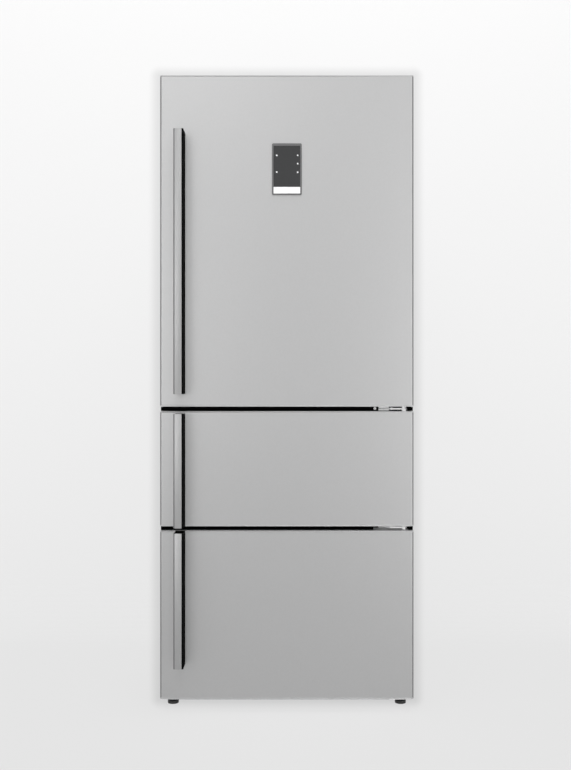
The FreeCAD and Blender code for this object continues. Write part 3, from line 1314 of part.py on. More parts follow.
def shelf_trims():
    """Front and rear edge trims of every pane."""
    trims = []
    for z in SHELF_HEIGHTS:
        low = z - SHELF_TRIM_LIP
        high = z + SHELF_GLASS + SHELF_TRIM_LIP
        glass = z + SHELF_GLASS
        nose = SHELF_FRONT - SHELF_TRIM
        grip = SHELF_FRONT + SHELF_TRIM_GRIP
        front = [
            (nose, low), (grip, low), (grip, z), (SHELF_FRONT, z), (SHELF_FRONT, glass),
            (grip, glass), (grip, high), (nose, high),
        ]
        tail = SHELF_BACK + SHELF_TRIM_LIP
        grip = SHELF_BACK - SHELF_TRIM_GRIP
        rear = [
            (tail, low), (grip, low), (grip, z), (SHELF_BACK, z), (SHELF_BACK, glass),
            (grip, glass), (grip, high), (SHELF_BACK, high), (SHELF_BACK, high + SHELF_BACK_UPSTAND),
            (tail, high + SHELF_BACK_UPSTAND),
        ]
        for outline in (front, rear):
            trims.append(prism(outline, "x", -SHELF_HALF_WIDTH, SHELF_HALF_WIDTH))
    return group(trims)


# Air ducts and fan

def fridge_air_duct():
    """Hollow duct cover on the rear wall of the fridge, with rows of outlet slots."""
    face = INNER_BACK - DUCT_DEPTH
    outer = [
        (-DUCT_HALF_WIDTH, INNER_BACK), (-DUCT_FACE_HALF, face), (DUCT_FACE_HALF, face),
        (DUCT_HALF_WIDTH, INNER_BACK),
    ]
    wide = DUCT_HALF_WIDTH - 2 * DUCT_WALL
    narrow = DUCT_FACE_HALF - DUCT_WALL
    inner = [
        (-wide, INNER_BACK + DUCT_WALL), (-narrow, face + DUCT_WALL),
        (narrow, face + DUCT_WALL), (wide, INNER_BACK + DUCT_WALL),
    ]
    cuts = [prism(inner, "z", DUCT_BOTTOM + DUCT_WALL, DUCT_TOP - DUCT_WALL)]
    for shelf in SHELF_HEIGHTS:
        z = shelf + DUCT_ROW_RISE
        slot = block(
            DUCT_SLOT_INNER, DUCT_SLOT_HALF, face - OVERRUN, face + OVERRUN, z, z + DUCT_SLOT_HEIGHT
        )
        cuts += [slot, mirrored(slot)]
    return prism(outer, "z", DUCT_BOTTOM, DUCT_TOP).cut(cuts)


def freezer_air_duct():
    """Panel in front of the evaporator with a fan mouth, a grille and return slots."""
    front = COVER_PANEL_Y
    back = front + COVER_PANEL_SHEET
    half = COVER_PANEL_HALF
    panel = soft_block((-half, half, front, back, STEP_TOP, COVER_PANEL_TOP), COVER_PANEL_CORNER, Y_AXIS)
    slot_low, slot_high = (STEP_TOP + share * EVAPORATOR_HEIGHT for share in COVER_SLOT_SHARES)
    cuts = [rod(FAN_MOUTH_RADIUS, vec(0, front - OVERRUN, FAN_Z), vec(0, back + OVERRUN, FAN_Z))]
    for index in range(COVER_SLOT_COUNT):
        x = (index - (COVER_SLOT_COUNT - 1) / 2) * COVER_SLOT_PITCH
        cuts.append(block(
            x - COVER_SLOT_WIDTH / 2, x + COVER_SLOT_WIDTH / 2, front - OVERRUN, back + OVERRUN,
            slot_low, slot_high,
        ))
    reach = FAN_MOUTH_RADIUS + SHEET
    bar = GRILLE_BAR / 2
    ring = rod(GRILLE_RING_RADIUS + bar, vec(0, front, FAN_Z), vec(0, back, FAN_Z)).cut(
        rod(GRILLE_RING_RADIUS - bar, vec(0, front - OVERRUN, FAN_Z), vec(0, back + OVERRUN, FAN_Z))
    )
    bars = [
        ring,
        block(-reach, reach, front, back, FAN_Z - bar, FAN_Z + bar),
        block(-bar, bar, front, back, FAN_Z - reach, FAN_Z + reach),
    ]
    return joined([panel.cut(cuts)] + bars)


def blade_section(radius, chord, pitch):
    """Thin cambered section of a fan blade, square to the radius and turned by its pitch."""
    half = chord / 2
    turn = math.radians(pitch)
    middle = gap_middle(FAN_HUB_FRONT, FAN_HUB_BACK)

    def place(along, rise):
        y = middle + along * math.sin(turn) + rise * math.cos(turn)
        return vec(radius, y, FAN_Z + along * math.cos(turn) - rise * math.sin(turn))

    low = -FAN_BLADE_SHEET / 2
    high = FAN_BLADE_SHEET / 2
    upper = [place(-half, high), place(0, high + FAN_BLADE_CAMBER), place(half, high)]
    under = [place(half, low), place(0, low + FAN_BLADE_CAMBER), place(-half, low)]
    return Part.Wire([
        Part.Arc(*upper).toShape(), Part.makeLine(upper[-1], under[0]),
        Part.Arc(*under).toShape(), Part.makeLine(under[-1], upper[0]),
    ])


def fan_blade():
    """Hub with twisted, cambered blades, bored for the shaft."""
    axis_front = vec(0, FAN_HUB_FRONT, FAN_Z)
    axis_back = vec(0, FAN_HUB_BACK, FAN_Z)
    root = blade_section(FAN_HUB_RADIUS - FAN_SHAFT_RADIUS, FAN_ROOT_CHORD, FAN_ROOT_PITCH)
    tip = blade_section(FAN_RADIUS + SHEET, FAN_TIP_CHORD, FAN_TIP_PITCH)
    first = Part.makeLoft([root, tip], True, True)
    parts = [rod(FAN_HUB_RADIUS, axis_front, axis_back)]
    for index in range(FAN_BLADES):
        blade = first.copy()
        blade.rotate(axis_front, Y_AXIS, index * 360 / FAN_BLADES)
        parts.append(blade)
    envelope = rod(FAN_RADIUS, axis_front, axis_back)
    bore = rod(
        FAN_SHAFT_RADIUS + RUNNING_CLEARANCE,
        vec(0, FAN_HUB_FRONT - OVERRUN, FAN_Z), vec(0, FAN_HUB_BACK + OVERRUN, FAN_Z),
    )
    return joined(parts).common(envelope).cut(bore)


def fan_motor():
    """Motor can with a shaft and a mounting plate on the rear wall."""
    plate_front = INNER_BACK - MOTOR_PLATE
    half = MOTOR_PLATE_HALF
    plate = soft_block(
        (-half, half, plate_front, INNER_BACK, FAN_Z - half, FAN_Z + half), MOTOR_PLATE_CORNER, Y_AXIS
    )
    can = rod(MOTOR_RADIUS, vec(0, MOTOR_FRONT, FAN_Z), vec(0, INNER_BACK, FAN_Z))
    shaft = rod(FAN_SHAFT_RADIUS, vec(0, FAN_HUB_FRONT - FAN_SHAFT_OVER, FAN_Z), vec(0, INNER_BACK, FAN_Z))
    shoulder = rod(
        FAN_SHAFT_RADIUS + SHEET, vec(0, FAN_HUB_BACK + RUNNING_CLEARANCE, FAN_Z), vec(0, MOTOR_FRONT, FAN_Z)
    )
    return joined([plate, can, shaft, shoulder])


def evaporator():
    """Finned core with return bends at both ends."""
    bottom = STEP_TOP
    middle = gap_middle(EVAPORATOR_FRONT, EVAPORATOR_BACK)
    core = block(
        -EVAPORATOR_HALF, EVAPORATOR_HALF, middle - EVAPORATOR_CORE / 2, middle + EVAPORATOR_CORE / 2,
        bottom, EVAPORATOR_TOP,
    )
    fins = []
    pitch = (2 * EVAPORATOR_HALF - EVAPORATOR_FIN) / (EVAPORATOR_FINS - 1)
    for index in range(EVAPORATOR_FINS):
        x = -EVAPORATOR_HALF + index * pitch
        fins.append(block(x, x + EVAPORATOR_FIN, EVAPORATOR_FRONT, EVAPORATOR_BACK, bottom, EVAPORATOR_TOP))
    bends = []
    radius = BEND_RADIUS_SHARE * EVAPORATOR_HEIGHT
    for index in range(EVAPORATOR_BENDS):
        share = FIRST_BEND_SHARE + index * BEND_PITCH_SHARE
        z = bottom + share * EVAPORATOR_HEIGHT + radius
        ring = Part.makeTorus(
            radius, TUBE_SHARE * EVAPORATOR_HEIGHT, vec(EVAPORATOR_HALF, middle, z), Y_AXIS
        )
        half_space = block(
            EVAPORATOR_HALF, EVAPORATOR_HALF + EVAPORATOR_HEIGHT, EVAPORATOR_FRONT, EVAPORATOR_BACK,
            bottom, EVAPORATOR_TOP,
        )
        bend = ring.common(half_space)
        bends += [bend, mirrored(bend)]
    return group([joined([core] + fins)] + bends)


# Compressor, drain pan, condenser and cord gland

def compressor_feet():
    """Places of the compressor studs."""
    return [
        (COMPRESSOR_X + sx * COMPRESSOR_FOOT_X, BAY_MIDDLE + sy * COMPRESSOR_FOOT_Y)
        for sx in (-1, 1) for sy in (-1, 1)
    ]


def compressor():
    """Hermetic shell with a weld seam, a foot plate, pipe stubs and a terminal box."""
    centre = vec(COMPRESSOR_X, BAY_MIDDLE, 0)
    seam = COMPRESSOR_RADIUS + COMPRESSOR_SEAM
    low_x = COMPRESSOR_FLAT_BOTTOM + DOME_SHARE * (COMPRESSOR_RADIUS - COMPRESSOR_FLAT_BOTTOM)
    low_z = COMPRESSOR_WAIST_BOTTOM - DOME_SHARE * (COMPRESSOR_WAIST_BOTTOM - COMPRESSOR_BOTTOM)
    high_x = COMPRESSOR_FLAT_TOP + DOME_SHARE * (COMPRESSOR_RADIUS - COMPRESSOR_FLAT_TOP)
    high_z = COMPRESSOR_WAIST_TOP + DOME_SHARE * (COMPRESSOR_TOP - COMPRESSOR_WAIST_TOP)
    side = COMPRESSOR_RADIUS
    below = [(0, COMPRESSOR_BOTTOM), (COMPRESSOR_FLAT_BOTTOM, COMPRESSOR_BOTTOM)]
    wall = [
        (side, COMPRESSOR_WAIST_BOTTOM), (side, COMPRESSOR_SEAM_BOTTOM), (seam, COMPRESSOR_SEAM_BOTTOM),
        (seam, COMPRESSOR_SEAM_TOP), (side, COMPRESSOR_SEAM_TOP), (side, COMPRESSOR_WAIST_TOP),
    ]
    above = [(COMPRESSOR_FLAT_TOP, COMPRESSOR_TOP), (0, COMPRESSOR_TOP), (0, COMPRESSOR_BOTTOM)]
    edges = []
    for run in (below, wall, above):
        corners = [vec(radius, 0, height) for radius, height in run]
        edges += [Part.makeLine(first, second) for first, second in zip(corners, corners[1:])]
    for start, middle, end in (
        (below[-1], (low_x, low_z), wall[0]), (wall[-1], (high_x, high_z), above[0])
    ):
        bow = [vec(radius, 0, height) for radius, height in (start, middle, end)]
        edges.append(Part.Arc(*bow).toShape())
    shell = Part.Face(Part.Wire(Part.__sortEdges__(edges))).revolve(vec(0, 0, 0), Z_AXIS, 360)
    shell.translate(centre)
    reach_x = COMPRESSOR_FOOT_X + COMPRESSOR_PLATE_MARGIN
    reach_y = COMPRESSOR_FOOT_Y + COMPRESSOR_PLATE_MARGIN
    plate = soft_block(
        (
            COMPRESSOR_X - reach_x, COMPRESSOR_X + reach_x, BAY_MIDDLE - reach_y, BAY_MIDDLE + reach_y,
            COMPRESSOR_PLATE_Z, COMPRESSOR_PLATE_Z + COMPRESSOR_PLATE_SHEET,
        ),
        COMPRESSOR_PLATE_CORNER, Z_AXIS,
    )
    holes = [
        rod(GROMMET_NECK, vec(x, y, CABINET_BOTTOM), vec(x, y, STUD_TOP)) for x, y in compressor_feet()
    ]
    stubs = []
    for angle, rise in zip(STUB_ANGLES, STUB_RISES):
        turn = math.radians(angle)
        reach = COMPRESSOR_RADIUS + STUB_LENGTH
        z = COMPRESSOR_PLATE_Z + rise
        start = vec(COMPRESSOR_X, BAY_MIDDLE, z)
        end = vec(COMPRESSOR_X + reach * math.cos(turn), BAY_MIDDLE + reach * math.sin(turn), z)
        stubs.append(rod(STUB_RADIUS, start, end))
    box = soft_block(
        (
            COMPRESSOR_X, COMPRESSOR_X + side + TERMINAL_DEPTH, BAY_MIDDLE - TERMINAL_WIDTH / 2,
            BAY_MIDDLE + TERMINAL_WIDTH / 2, TERMINAL_BOTTOM, TERMINAL_TOP,
        ),
        TERMINAL_EDGE, X_AXIS,
    )
    return joined([shell, plate.cut(holes), box] + stubs)


def compressor_mounts():
    """Four grooved rubber grommets."""
    low = COMPRESSOR_PLATE_Z
    high = COMPRESSOR_PLATE_Z + COMPRESSOR_PLATE_SHEET
    profile = [
        (STUD_RADIUS, BASE_TOP), (GROMMET_RADIUS, BASE_TOP), (GROMMET_RADIUS, low),
        (GROMMET_NECK, low), (GROMMET_NECK, high), (GROMMET_RADIUS, high),
        (GROMMET_RADIUS, GROMMET_TOP), (STUD_RADIUS, GROMMET_TOP),
    ]
    return group([turned(profile, vec(x, y, 0), Z_AXIS) for x, y in compressor_feet()])


def drain_pan():
    """Shallow evaporation tray on top of the compressor, with a turned-out rim."""
    x, y = COMPRESSOR_X, BAY_MIDDLE
    w, d = DRAIN_HALF_WIDTH, DRAIN_HALF_DEPTH
    low = COMPRESSOR_TOP
    high = low + DRAIN_HEIGHT
    body = soft_block((x - w, x + w, y - d, y + d, low, high), DRAIN_CORNER, Z_AXIS)
    rim = soft_block(
        (x - w - DRAIN_RIM, x + w + DRAIN_RIM, y - d - DRAIN_RIM, y + d + DRAIN_RIM, high - DRAIN_WALL, high),
        DRAIN_CORNER + DRAIN_RIM, Z_AXIS,
    )
    t = DRAIN_WALL
    hollow = soft_block(
        (x - w + t, x + w - t, y - d + t, y + d - t, low + t, high + OVERRUN), DRAIN_CORNER - t, Z_AXIS
    )
    return joined([body, rim]).cut(hollow)


def condenser_tube():
    """Serpentine of straight runs and half-round bends."""
    y = CABINET_BACK + CONDENSER_TUBE_OFFSET
    edges = []
    side = 1
    z = CONDENSER_FIRST_Z
    for index in range(CONDENSER_RUNS):
        start = vec(-side * CONDENSER_RUN_HALF, y, z)
        end = vec(side * CONDENSER_RUN_HALF, y, z)
        edges.append(Part.makeLine(start, end))
        if index < CONDENSER_RUNS - 1:
            above = z + 2 * CONDENSER_BEND
            edges.append(Part.Arc(
                end, vec(side * (CONDENSER_RUN_HALF + CONDENSER_BEND), y, z + CONDENSER_BEND),
                vec(end.x, y, above),
            ).toShape())
            z = above
        side = -side
    path = Part.Wire(edges)
    ring = Part.Wire([Part.makeCircle(CONDENSER_TUBE_RADIUS, edges[0].Vertexes[0].Point, X_AXIS)])
    return path.makePipeShell([ring], True, False)


def condenser():
    """Tube, upright wires and two side straps that stand off the rear panel."""
    y = CABINET_BACK + CONDENSER_TUBE_OFFSET
    low = CONDENSER_FIRST_Z - CONDENSER_END
    high = CONDENSER_FIRST_Z + (CONDENSER_RUNS - 1) * 2 * CONDENSER_BEND + CONDENSER_END
    wire_y = y - CONDENSER_TUBE_RADIUS - CONDENSER_WIRE_RADIUS
    wires = []
    for index in range(CONDENSER_WIRES):
        x = CONDENSER_WIRE_SPAN * (2 * index / (CONDENSER_WIRES - 1) - 1)
        wires.append(rod(CONDENSER_WIRE_RADIUS, vec(x, wire_y, low), vec(x, wire_y, high)))
    front = y + CONDENSER_TUBE_RADIUS
    back = front + CONDENSER_STRAP_SHEET
    parts = [block(CONDENSER_STRAP_INNER, CONDENSER_STRAP_OUTER, front, back, low, high)]
    leg = CONDENSER_LEG_HEIGHT / 2
    for z in (low + leg, gap_middle(low, high), high - leg):
        parts.append(block(CONDENSER_LEG_INNER, CONDENSER_STRAP_OUTER, CABINET_BACK, back, z - leg, z + leg))
        parts.append(block(
            CONDENSER_STRAP_INNER, CONDENSER_STRAP_OUTER, front, CABINET_BACK + REAR_CLEARANCE,
            z - leg, z + leg,
        ))
    strap = joined(parts)
    return group([condenser_tube()] + wires + [strap, mirrored(strap)])


def cord_gland():
    """Flanged bushing in the rear upstand, open for a cord."""
    inner = -BASE_SHEET - GLAND_FLANGE_SHEET
    profile = [
        (GLAND_BORE, inner), (GLAND_FLANGE, inner), (GLAND_FLANGE, -BASE_SHEET), (GLAND_BODY, -BASE_SHEET),
        (GLAND_BODY, 0), (GLAND_FLANGE, 0), (GLAND_FLANGE, GLAND_FLANGE_SHEET),
        (GLAND_SLEEVE_RADIUS, GLAND_FLANGE_SHEET), (GLAND_SLEEVE_RADIUS, GLAND_FLANGE_SHEET + GLAND_SLEEVE),
        (GLAND_BORE, GLAND_FLANGE_SHEET + GLAND_SLEEVE),
    ]
    return turned(profile, vec(GLAND_X, CABINET_BACK, GLAND_Z), Y_AXIS)


# Feet and rollers

def front_foot(side):
    """Levelling foot with a hexagonal collar and a stem."""
    x = side * FOOT_X
    disc = rod(FOOT_RADIUS, vec(x, FOOT_Y, 0), vec(x, FOOT_Y, FOOT_DISC))
    disc = disc.makeFillet(FOOT_EDGE, [e for e in disc.Edges if e.CenterOfMass.z > FOOT_DISC - FOOT_EDGE])
    collar_radius = FOOT_COLLAR_FLATS / math.sqrt(3)
    corners = []
    for index in range(HEX_SIDES):
        turn = 2 * math.pi * index / HEX_SIDES
        corners.append((x + collar_radius * math.cos(turn), FOOT_Y + collar_radius * math.sin(turn)))
    collar = prism(corners, "z", 0, CHANNEL_BOTTOM - RUNNING_CLEARANCE)
    stem = rod(FOOT_STEM_RADIUS, vec(x, FOOT_Y, 0), vec(x, FOOT_Y, FOOT_STEM_TOP))
    return joined([disc, collar, stem])


def rear_roller(side):
    """Roller with dished faces, bored for its axle."""
    half = ROLLER_WIDTH / 2
    dish = half - ROLLER_HUB_DISH
    rim = ROLLER_RADIUS - ROLLER_HUB_DISH
    bore = ROLLER_AXLE_RADIUS + RUNNING_CLEARANCE
    edge = ROLLER_TYRE_EDGE
    profile = [
        (bore, -half), (ROLLER_HUB_RADIUS, -half), (ROLLER_HUB_RADIUS, -dish), (rim, -dish), (rim, -half),
        (ROLLER_RADIUS - edge, -half), (ROLLER_RADIUS, edge - half), (ROLLER_RADIUS, half - edge),
        (ROLLER_RADIUS - edge, half), (rim, half), (rim, dish), (ROLLER_HUB_RADIUS, dish),
        (ROLLER_HUB_RADIUS, half), (bore, half),
    ]
    return turned(profile, vec(side * ROLLER_X, ROLLER_Y, ROLLER_RADIUS), X_AXIS)


# Assembly

def door_pieces(name, bottom, top, floor, ceiling, seal_low, seal_high, handle):
    """Named pieces of one door."""
    low = floor + DIKE_END
    high = ceiling - DIKE_END
    caps = door_caps(bottom, top)
    panel = door_panel(bottom, top, low, high)
    return {
        f"{name}_door_skin": door_skin(bottom, top),
        f"{name}_door_foam": door_foam(bottom, top, low, high, caps),
        f"{name}_door_panel": panel,
        f"{name}_door_caps": caps,
        f"{name}_door_gasket": gasket(seal_low, seal_high),
        f"{name}_handle_cover": handle_cover(*handle),
        f"{name}_handle_grip": handle_grip(*handle),
    }


def all_pieces():
    """Every named piece of the fridge freezer."""
    rails = mullion_rails()
    top_seal = CABINET_TOP - GASKET_INSET + LINER_LIP
    pieces = {
        "outer_wrap": outer_wrap(),
        "back_panel": back_panel(),
        "base_frame": base_frame(),
        "mullion_rails": rails,
        "insulation_foam": insulation_foam(rails),
        "fridge_liner": fridge_liner(),
        "chill_liner": chill_liner(),
        "freezer_liner": freezer_liner(),
        "top_hinge": top_hinge(),
        "top_hinge_cover": top_hinge_cover(),
        "middle_hinges": middle_hinges(),
        "bottom_hinge": bottom_hinge(),
        "hinge_screws": hinge_screws(),
        "glass_shelves": shelf_panes(),
        "shelf_trims": shelf_trims(),
        "fridge_air_duct": fridge_air_duct(),
        "freezer_air_duct": freezer_air_duct(),
        "fan_motor": fan_motor(),
        "fan_blade": fan_blade(),
        "evaporator": evaporator(),
        "compressor": compressor(),
        "compressor_mounts": compressor_mounts(),
        "drain_pan": drain_pan(),
        "condenser": condenser(),
        "cord_gland": cord_gland(),
        "front_foot_left": front_foot(-1),
        "front_foot_right": front_foot(1),
        "rear_roller_left": rear_roller(-1),
        "rear_roller_right": rear_roller(1),
        "display_frame": display_frame(),
        "display_glass": display_insert(GLASS_BOTTOM, GLASS_TOP, GLASS_PROUD),
        "display_strip": display_insert(STRIP_BOTTOM, GLASS_BOTTOM, STRIP_PROUD),
        "crisper_drawer": drawer(CRISPER_BOTTOM, CRISPER_TOP, CRISPER_BACK),
        "chill_drawer": drawer(CHILL_DRAWER_BOTTOM, CHILL_DRAWER_TOP, CHILL_DRAWER_BACK),
        "freezer_drawer_upper": drawer(UPPER_DRAWER_BOTTOM, UPPER_DRAWER_TOP, UPPER_DRAWER_BACK),
        "freezer_drawer_lower": drawer(LOWER_DRAWER_BOTTOM, LOWER_DRAWER_TOP, LOWER_DRAWER_BACK),
    }
    pieces.update(door_pieces(
        "fridge", FRIDGE_DOOR_BOTTOM, FRIDGE_DOOR_TOP, FRIDGE_FLOOR, FRIDGE_CEILING,
        UPPER_RAIL_TOP - GASKET_WIDTH, top_seal, (FRIDGE_HANDLE_BOTTOM, FRIDGE_HANDLE_TOP),
    ))
    pieces.update(door_pieces(
        "chill", CHILL_DOOR_BOTTOM, CHILL_DOOR_TOP, CHILL_FLOOR, CHILL_CEILING,
        LOWER_RAIL_TOP - GASKET_WIDTH, UPPER_RAIL_BOTTOM + GASKET_WIDTH,
        (CHILL_HANDLE_BOTTOM, CHILL_HANDLE_TOP),
    ))
    pieces.update(door_pieces(
        "freezer", DOOR_BOTTOM, FREEZER_DOOR_TOP, FREEZER_FLOOR, FREEZER_CEILING,
        UPSTAND_TOP - GASKET_WIDTH, LOWER_RAIL_BOTTOM + GASKET_WIDTH,
        (FREEZER_HANDLE_BOTTOM, FREEZER_DOOR_TOP),
    ))
    pieces["fridge_door_panel"] = joined([pieces["fridge_door_panel"]] + balcony_lugs())
    names = ("balcony_bottle", "balcony_middle", "balcony_upper")
    for name, bottom, height in zip(names, BALCONY_BOTTOMS, BALCONY_HEIGHTS):
        pieces[name] = balcony(bottom, height)
    return pieces


os.makedirs("parts", exist_ok=True)
for name, shape in all_pieces().items():
    shape.exportStep(f"parts/{name}.step")
    print(f"{name}: {len(shape.Solids)} solids, {shape.Volume / 1000:.1f} cm3, valid {shape.isValid()}")
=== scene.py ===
"""Dressed fridge freezer: three right-hung steel doors on a grey cabinet, with its inside and its rear."""

import json
import logging
import math
from collections.abc import Callable, Iterable, Iterator
from dataclasses import dataclass
from enum import Enum
from functools import cache
from typing import TypeVar

import bmesh
import bpy
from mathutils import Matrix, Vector


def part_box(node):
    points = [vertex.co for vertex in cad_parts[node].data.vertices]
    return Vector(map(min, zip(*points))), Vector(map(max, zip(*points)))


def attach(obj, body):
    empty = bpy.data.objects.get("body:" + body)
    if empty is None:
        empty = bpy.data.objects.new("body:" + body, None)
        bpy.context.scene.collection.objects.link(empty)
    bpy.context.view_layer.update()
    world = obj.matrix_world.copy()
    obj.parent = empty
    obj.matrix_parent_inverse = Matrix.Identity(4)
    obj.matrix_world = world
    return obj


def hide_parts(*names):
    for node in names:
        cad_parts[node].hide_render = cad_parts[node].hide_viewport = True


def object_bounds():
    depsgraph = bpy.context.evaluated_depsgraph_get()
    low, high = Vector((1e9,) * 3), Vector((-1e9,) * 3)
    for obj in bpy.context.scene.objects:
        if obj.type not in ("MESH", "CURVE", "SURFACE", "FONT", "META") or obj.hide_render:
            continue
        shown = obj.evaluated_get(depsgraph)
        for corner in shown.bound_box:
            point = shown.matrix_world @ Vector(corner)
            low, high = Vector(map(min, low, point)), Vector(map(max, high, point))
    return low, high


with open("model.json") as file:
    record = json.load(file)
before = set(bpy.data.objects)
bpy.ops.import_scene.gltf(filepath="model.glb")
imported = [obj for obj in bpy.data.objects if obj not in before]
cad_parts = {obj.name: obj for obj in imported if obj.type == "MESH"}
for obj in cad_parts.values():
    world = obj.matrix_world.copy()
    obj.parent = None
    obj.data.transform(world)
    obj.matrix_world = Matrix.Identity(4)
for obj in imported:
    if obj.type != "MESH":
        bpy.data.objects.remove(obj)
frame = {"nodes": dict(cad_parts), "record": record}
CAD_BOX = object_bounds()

Point = tuple[float, float, float]
Flat = tuple[float, float]
Output = bpy.types.NodeSocket
Item = TypeVar("Item")

LOG = logging.getLogger("fridge_freezer")
BODY_OF = {
    node: body for body, nodes in frame["record"]["behaviour"]["bodies"].items() for node in nodes
}
WHITE = (1.0, 1.0, 1.0, 1.0)

WELD = 2e-6  # Corners of a node nearer than this are one.
SAME_PLANE = 0.99999  # Least cosine between faces of one flat stretch.
FLAT_WIDTH = 0.007  # Mean width from which a flat stretch is shaded flat.
MOULDED_EDGE = 32.0  # Degrees from which an edge of a moulded part stays sharp.
SHEET_EDGE = 25.0  # The same on the door sheets and handle covers.
STAGE_EDGE = 60.0  # The same on floor and backdrop.
BEVEL_EDGE = 40.0  # Degrees from which an edge is rounded.
BEVEL_ROWS = 2  # Rows of faces on a rounded edge.

NOISE_SPREAD = (0.3, 0.7)  # Range that most of a noise lies in.
FINE_DETAIL = 3.0  # Levels of the fine structure.
SLOW_DETAIL = 2.0  # Levels of the slow structure.
COAT_ROUGHNESS = 0.08
LEAST_ROUGHNESS = 0.02


class Wiring:
    """Adds nodes to a tree and joins them."""

    def __init__(self, tree: bpy.types.NodeTree) -> None:
        """Empty the tree.

        Args:
            tree: Tree to fill.
        """
        tree.nodes.clear()
        self.tree = tree

    def add(
        self, kind: str, fed: dict[str | int, object] | None = None, **settings: object
    ) -> bpy.types.Node:
        """Add a node.

        Args:
            kind: Node type.
            fed: What each input gets: a fixed value, an output, or a list of outputs.
            settings: Properties of the node.

        Returns:
            The node.
        """
        node = self.tree.nodes.new(kind)
        for name, value in settings.items():
            setattr(node, name, value)
        for name, value in (fed or {}).items():
            for source in value if isinstance(value, list) else [value]:
                if isinstance(source, Output):
                    self.tree.links.new(source, node.inputs[name])
                else:
                    node.inputs[name].default_value = source
        return node

    def number(self, kind: str, first: Output | float, second: Output | float) -> Output:
        """Join two numbers by the named operation."""
        return self.add("ShaderNodeMath", {0: first, 1: second}, operation=kind).outputs["Value"]

    def vector(self, kind: str, *fed: Output | Point, out: str = "Vector") -> Output:
        """Join vectors by the named operation."""
        return self.add("ShaderNodeVectorMath", dict(enumerate(fed)), operation=kind).outputs[out]

    def scaled(self, way: Output | Point, share: Output) -> Output:
        """Multiply a vector by a number."""
        fed = {0: way, "Scale": share}
        return self.add("ShaderNodeVectorMath", fed, operation="SCALE").outputs["Vector"]

    def span(self, value: Output, source: Flat, target: Flat, kind: str = "LINEAR") -> Output:
        """Spread a number over a range, held at both ends."""
        fed = zip(("Value", "From Min", "From Max", "To Min", "To Max"), (value, *source, *target))
        return self.add("ShaderNodeMapRange", dict(fed), interpolation_type=kind).outputs["Result"]

    def noise(self, place: Output, stretch: Point, scale: float, detail: float) -> Output:
        """Noise with its scale per metre and its levels of detail, stretched along the axes."""
        turn = self.add("ShaderNodeMapping", {"Vector": place, "Scale": stretch}).outputs["Vector"]
        return self.add("ShaderNodeTexNoise", {
            "Vector": turn, "Scale": scale, "Detail": detail,
        }).outputs["Fac"]

    def shown(self) -> Output:
        """Tell seen surfaces from lit ones.

        Returns:
            1 for camera, glossy and transmission rays, and 0 for the rest.
        """
        path = self.add("ShaderNodeLightPath").outputs
        direct = self.number("MAXIMUM", path["Is Camera Ray"], path["Is Glossy Ray"])
        return self.number("MAXIMUM", direct, path["Is Transmission Ray"])


class Grain(Enum):
    """Direction of the fine structure, as the stretch of its pattern along x, y and z."""

    SPECKLE = (1.0, 1.0, 1.0)
    UPRIGHT = (1.0, 1.0, 0.03)
    BRUSHED = (1.0, 1.0, 0.3)
    CROSSWISE = (0.03, 1.0, 1.0)


@dataclass(frozen=True)
class Finish:
    """One surface finish.

    Attributes:
        name: Material name.
        colour: Middle colour, linear.
        roughness: Middle roughness.
        metallic: Metal share.
        grain: Direction of the fine structure.
        scale: Fine structure per metre.
        tone: Change of brightness over the fine structure.
        cloud: Change of brightness over the slow structure.
        cloud_scale: Slow structure per metre.
        gloss_change: Change of roughness over the slow structure.
        bump: Bump strength.
        bump_depth: Bump height in metres.
        coat: Clear coat weight.
        clear: Transmission weight.
        refraction: Index of refraction.
        specular: Strength of the plain reflection.
    """

    name: str
    colour: Point
    roughness: float
    metallic: float = 0.0
    grain: Grain = Grain.SPECKLE
    scale: float = 900.0
    tone: float = 0.03
    cloud: float = 0.02
    cloud_scale: float = 5.0
    gloss_change: float = 0.05
    bump: float = 0.15
    bump_depth: float = 0.0002
    coat: float = 0.0
    clear: float = 0.0
    refraction: float = 1.5
    specular: float = 0.5

    @cache
    def material(self) -> bpy.types.Material:
        """Build the node material at the first call.

        Returns:
            The finished material.
        """
        made = bpy.data.materials.new(self.name)
        made.use_nodes = True
        wiring = Wiring(made.node_tree)
        place = wiring.add("ShaderNodeTexCoord").outputs["Object"]
        fine = wiring.noise(place, self.grain.value, self.scale, FINE_DETAIL)
        slow = wiring.noise(place, Grain.SPECKLE.value, self.cloud_scale, SLOW_DETAIL)
        bright = wiring.span(fine, NOISE_SPREAD, (1.0 - self.tone, 1.0 + self.tone))
        cloudy = wiring.span(slow, NOISE_SPREAD, (1.0 - self.cloud, 1.0 + self.cloud))
        low = max(LEAST_ROUGHNESS, self.roughness - self.gloss_change)
        relief = {"Strength": self.bump, "Distance": self.bump_depth, "Height": fine}
        shader = wiring.add("ShaderNodeBsdfPrincipled", {
            "Base Color": wiring.scaled(self.colour, wiring.number("MULTIPLY", bright, cloudy)),
            "Metallic": self.metallic,
            "Roughness": wiring.span(slow, NOISE_SPREAD, (low, self.roughness + self.gloss_change)),
            "IOR": self.refraction,
            "Normal": wiring.add("ShaderNodeBump", relief).outputs["Normal"],
            "Specular IOR Level": self.specular,
            "Transmission Weight": self.clear,
            "Coat Weight": self.coat,
            "Coat Roughness": COAT_ROUGHNESS,
        })
        wiring.add("ShaderNodeOutputMaterial", {"Surface": shader.outputs["BSDF"]})
        made.diffuse_color = (*self.colour, 1.0)
        return made


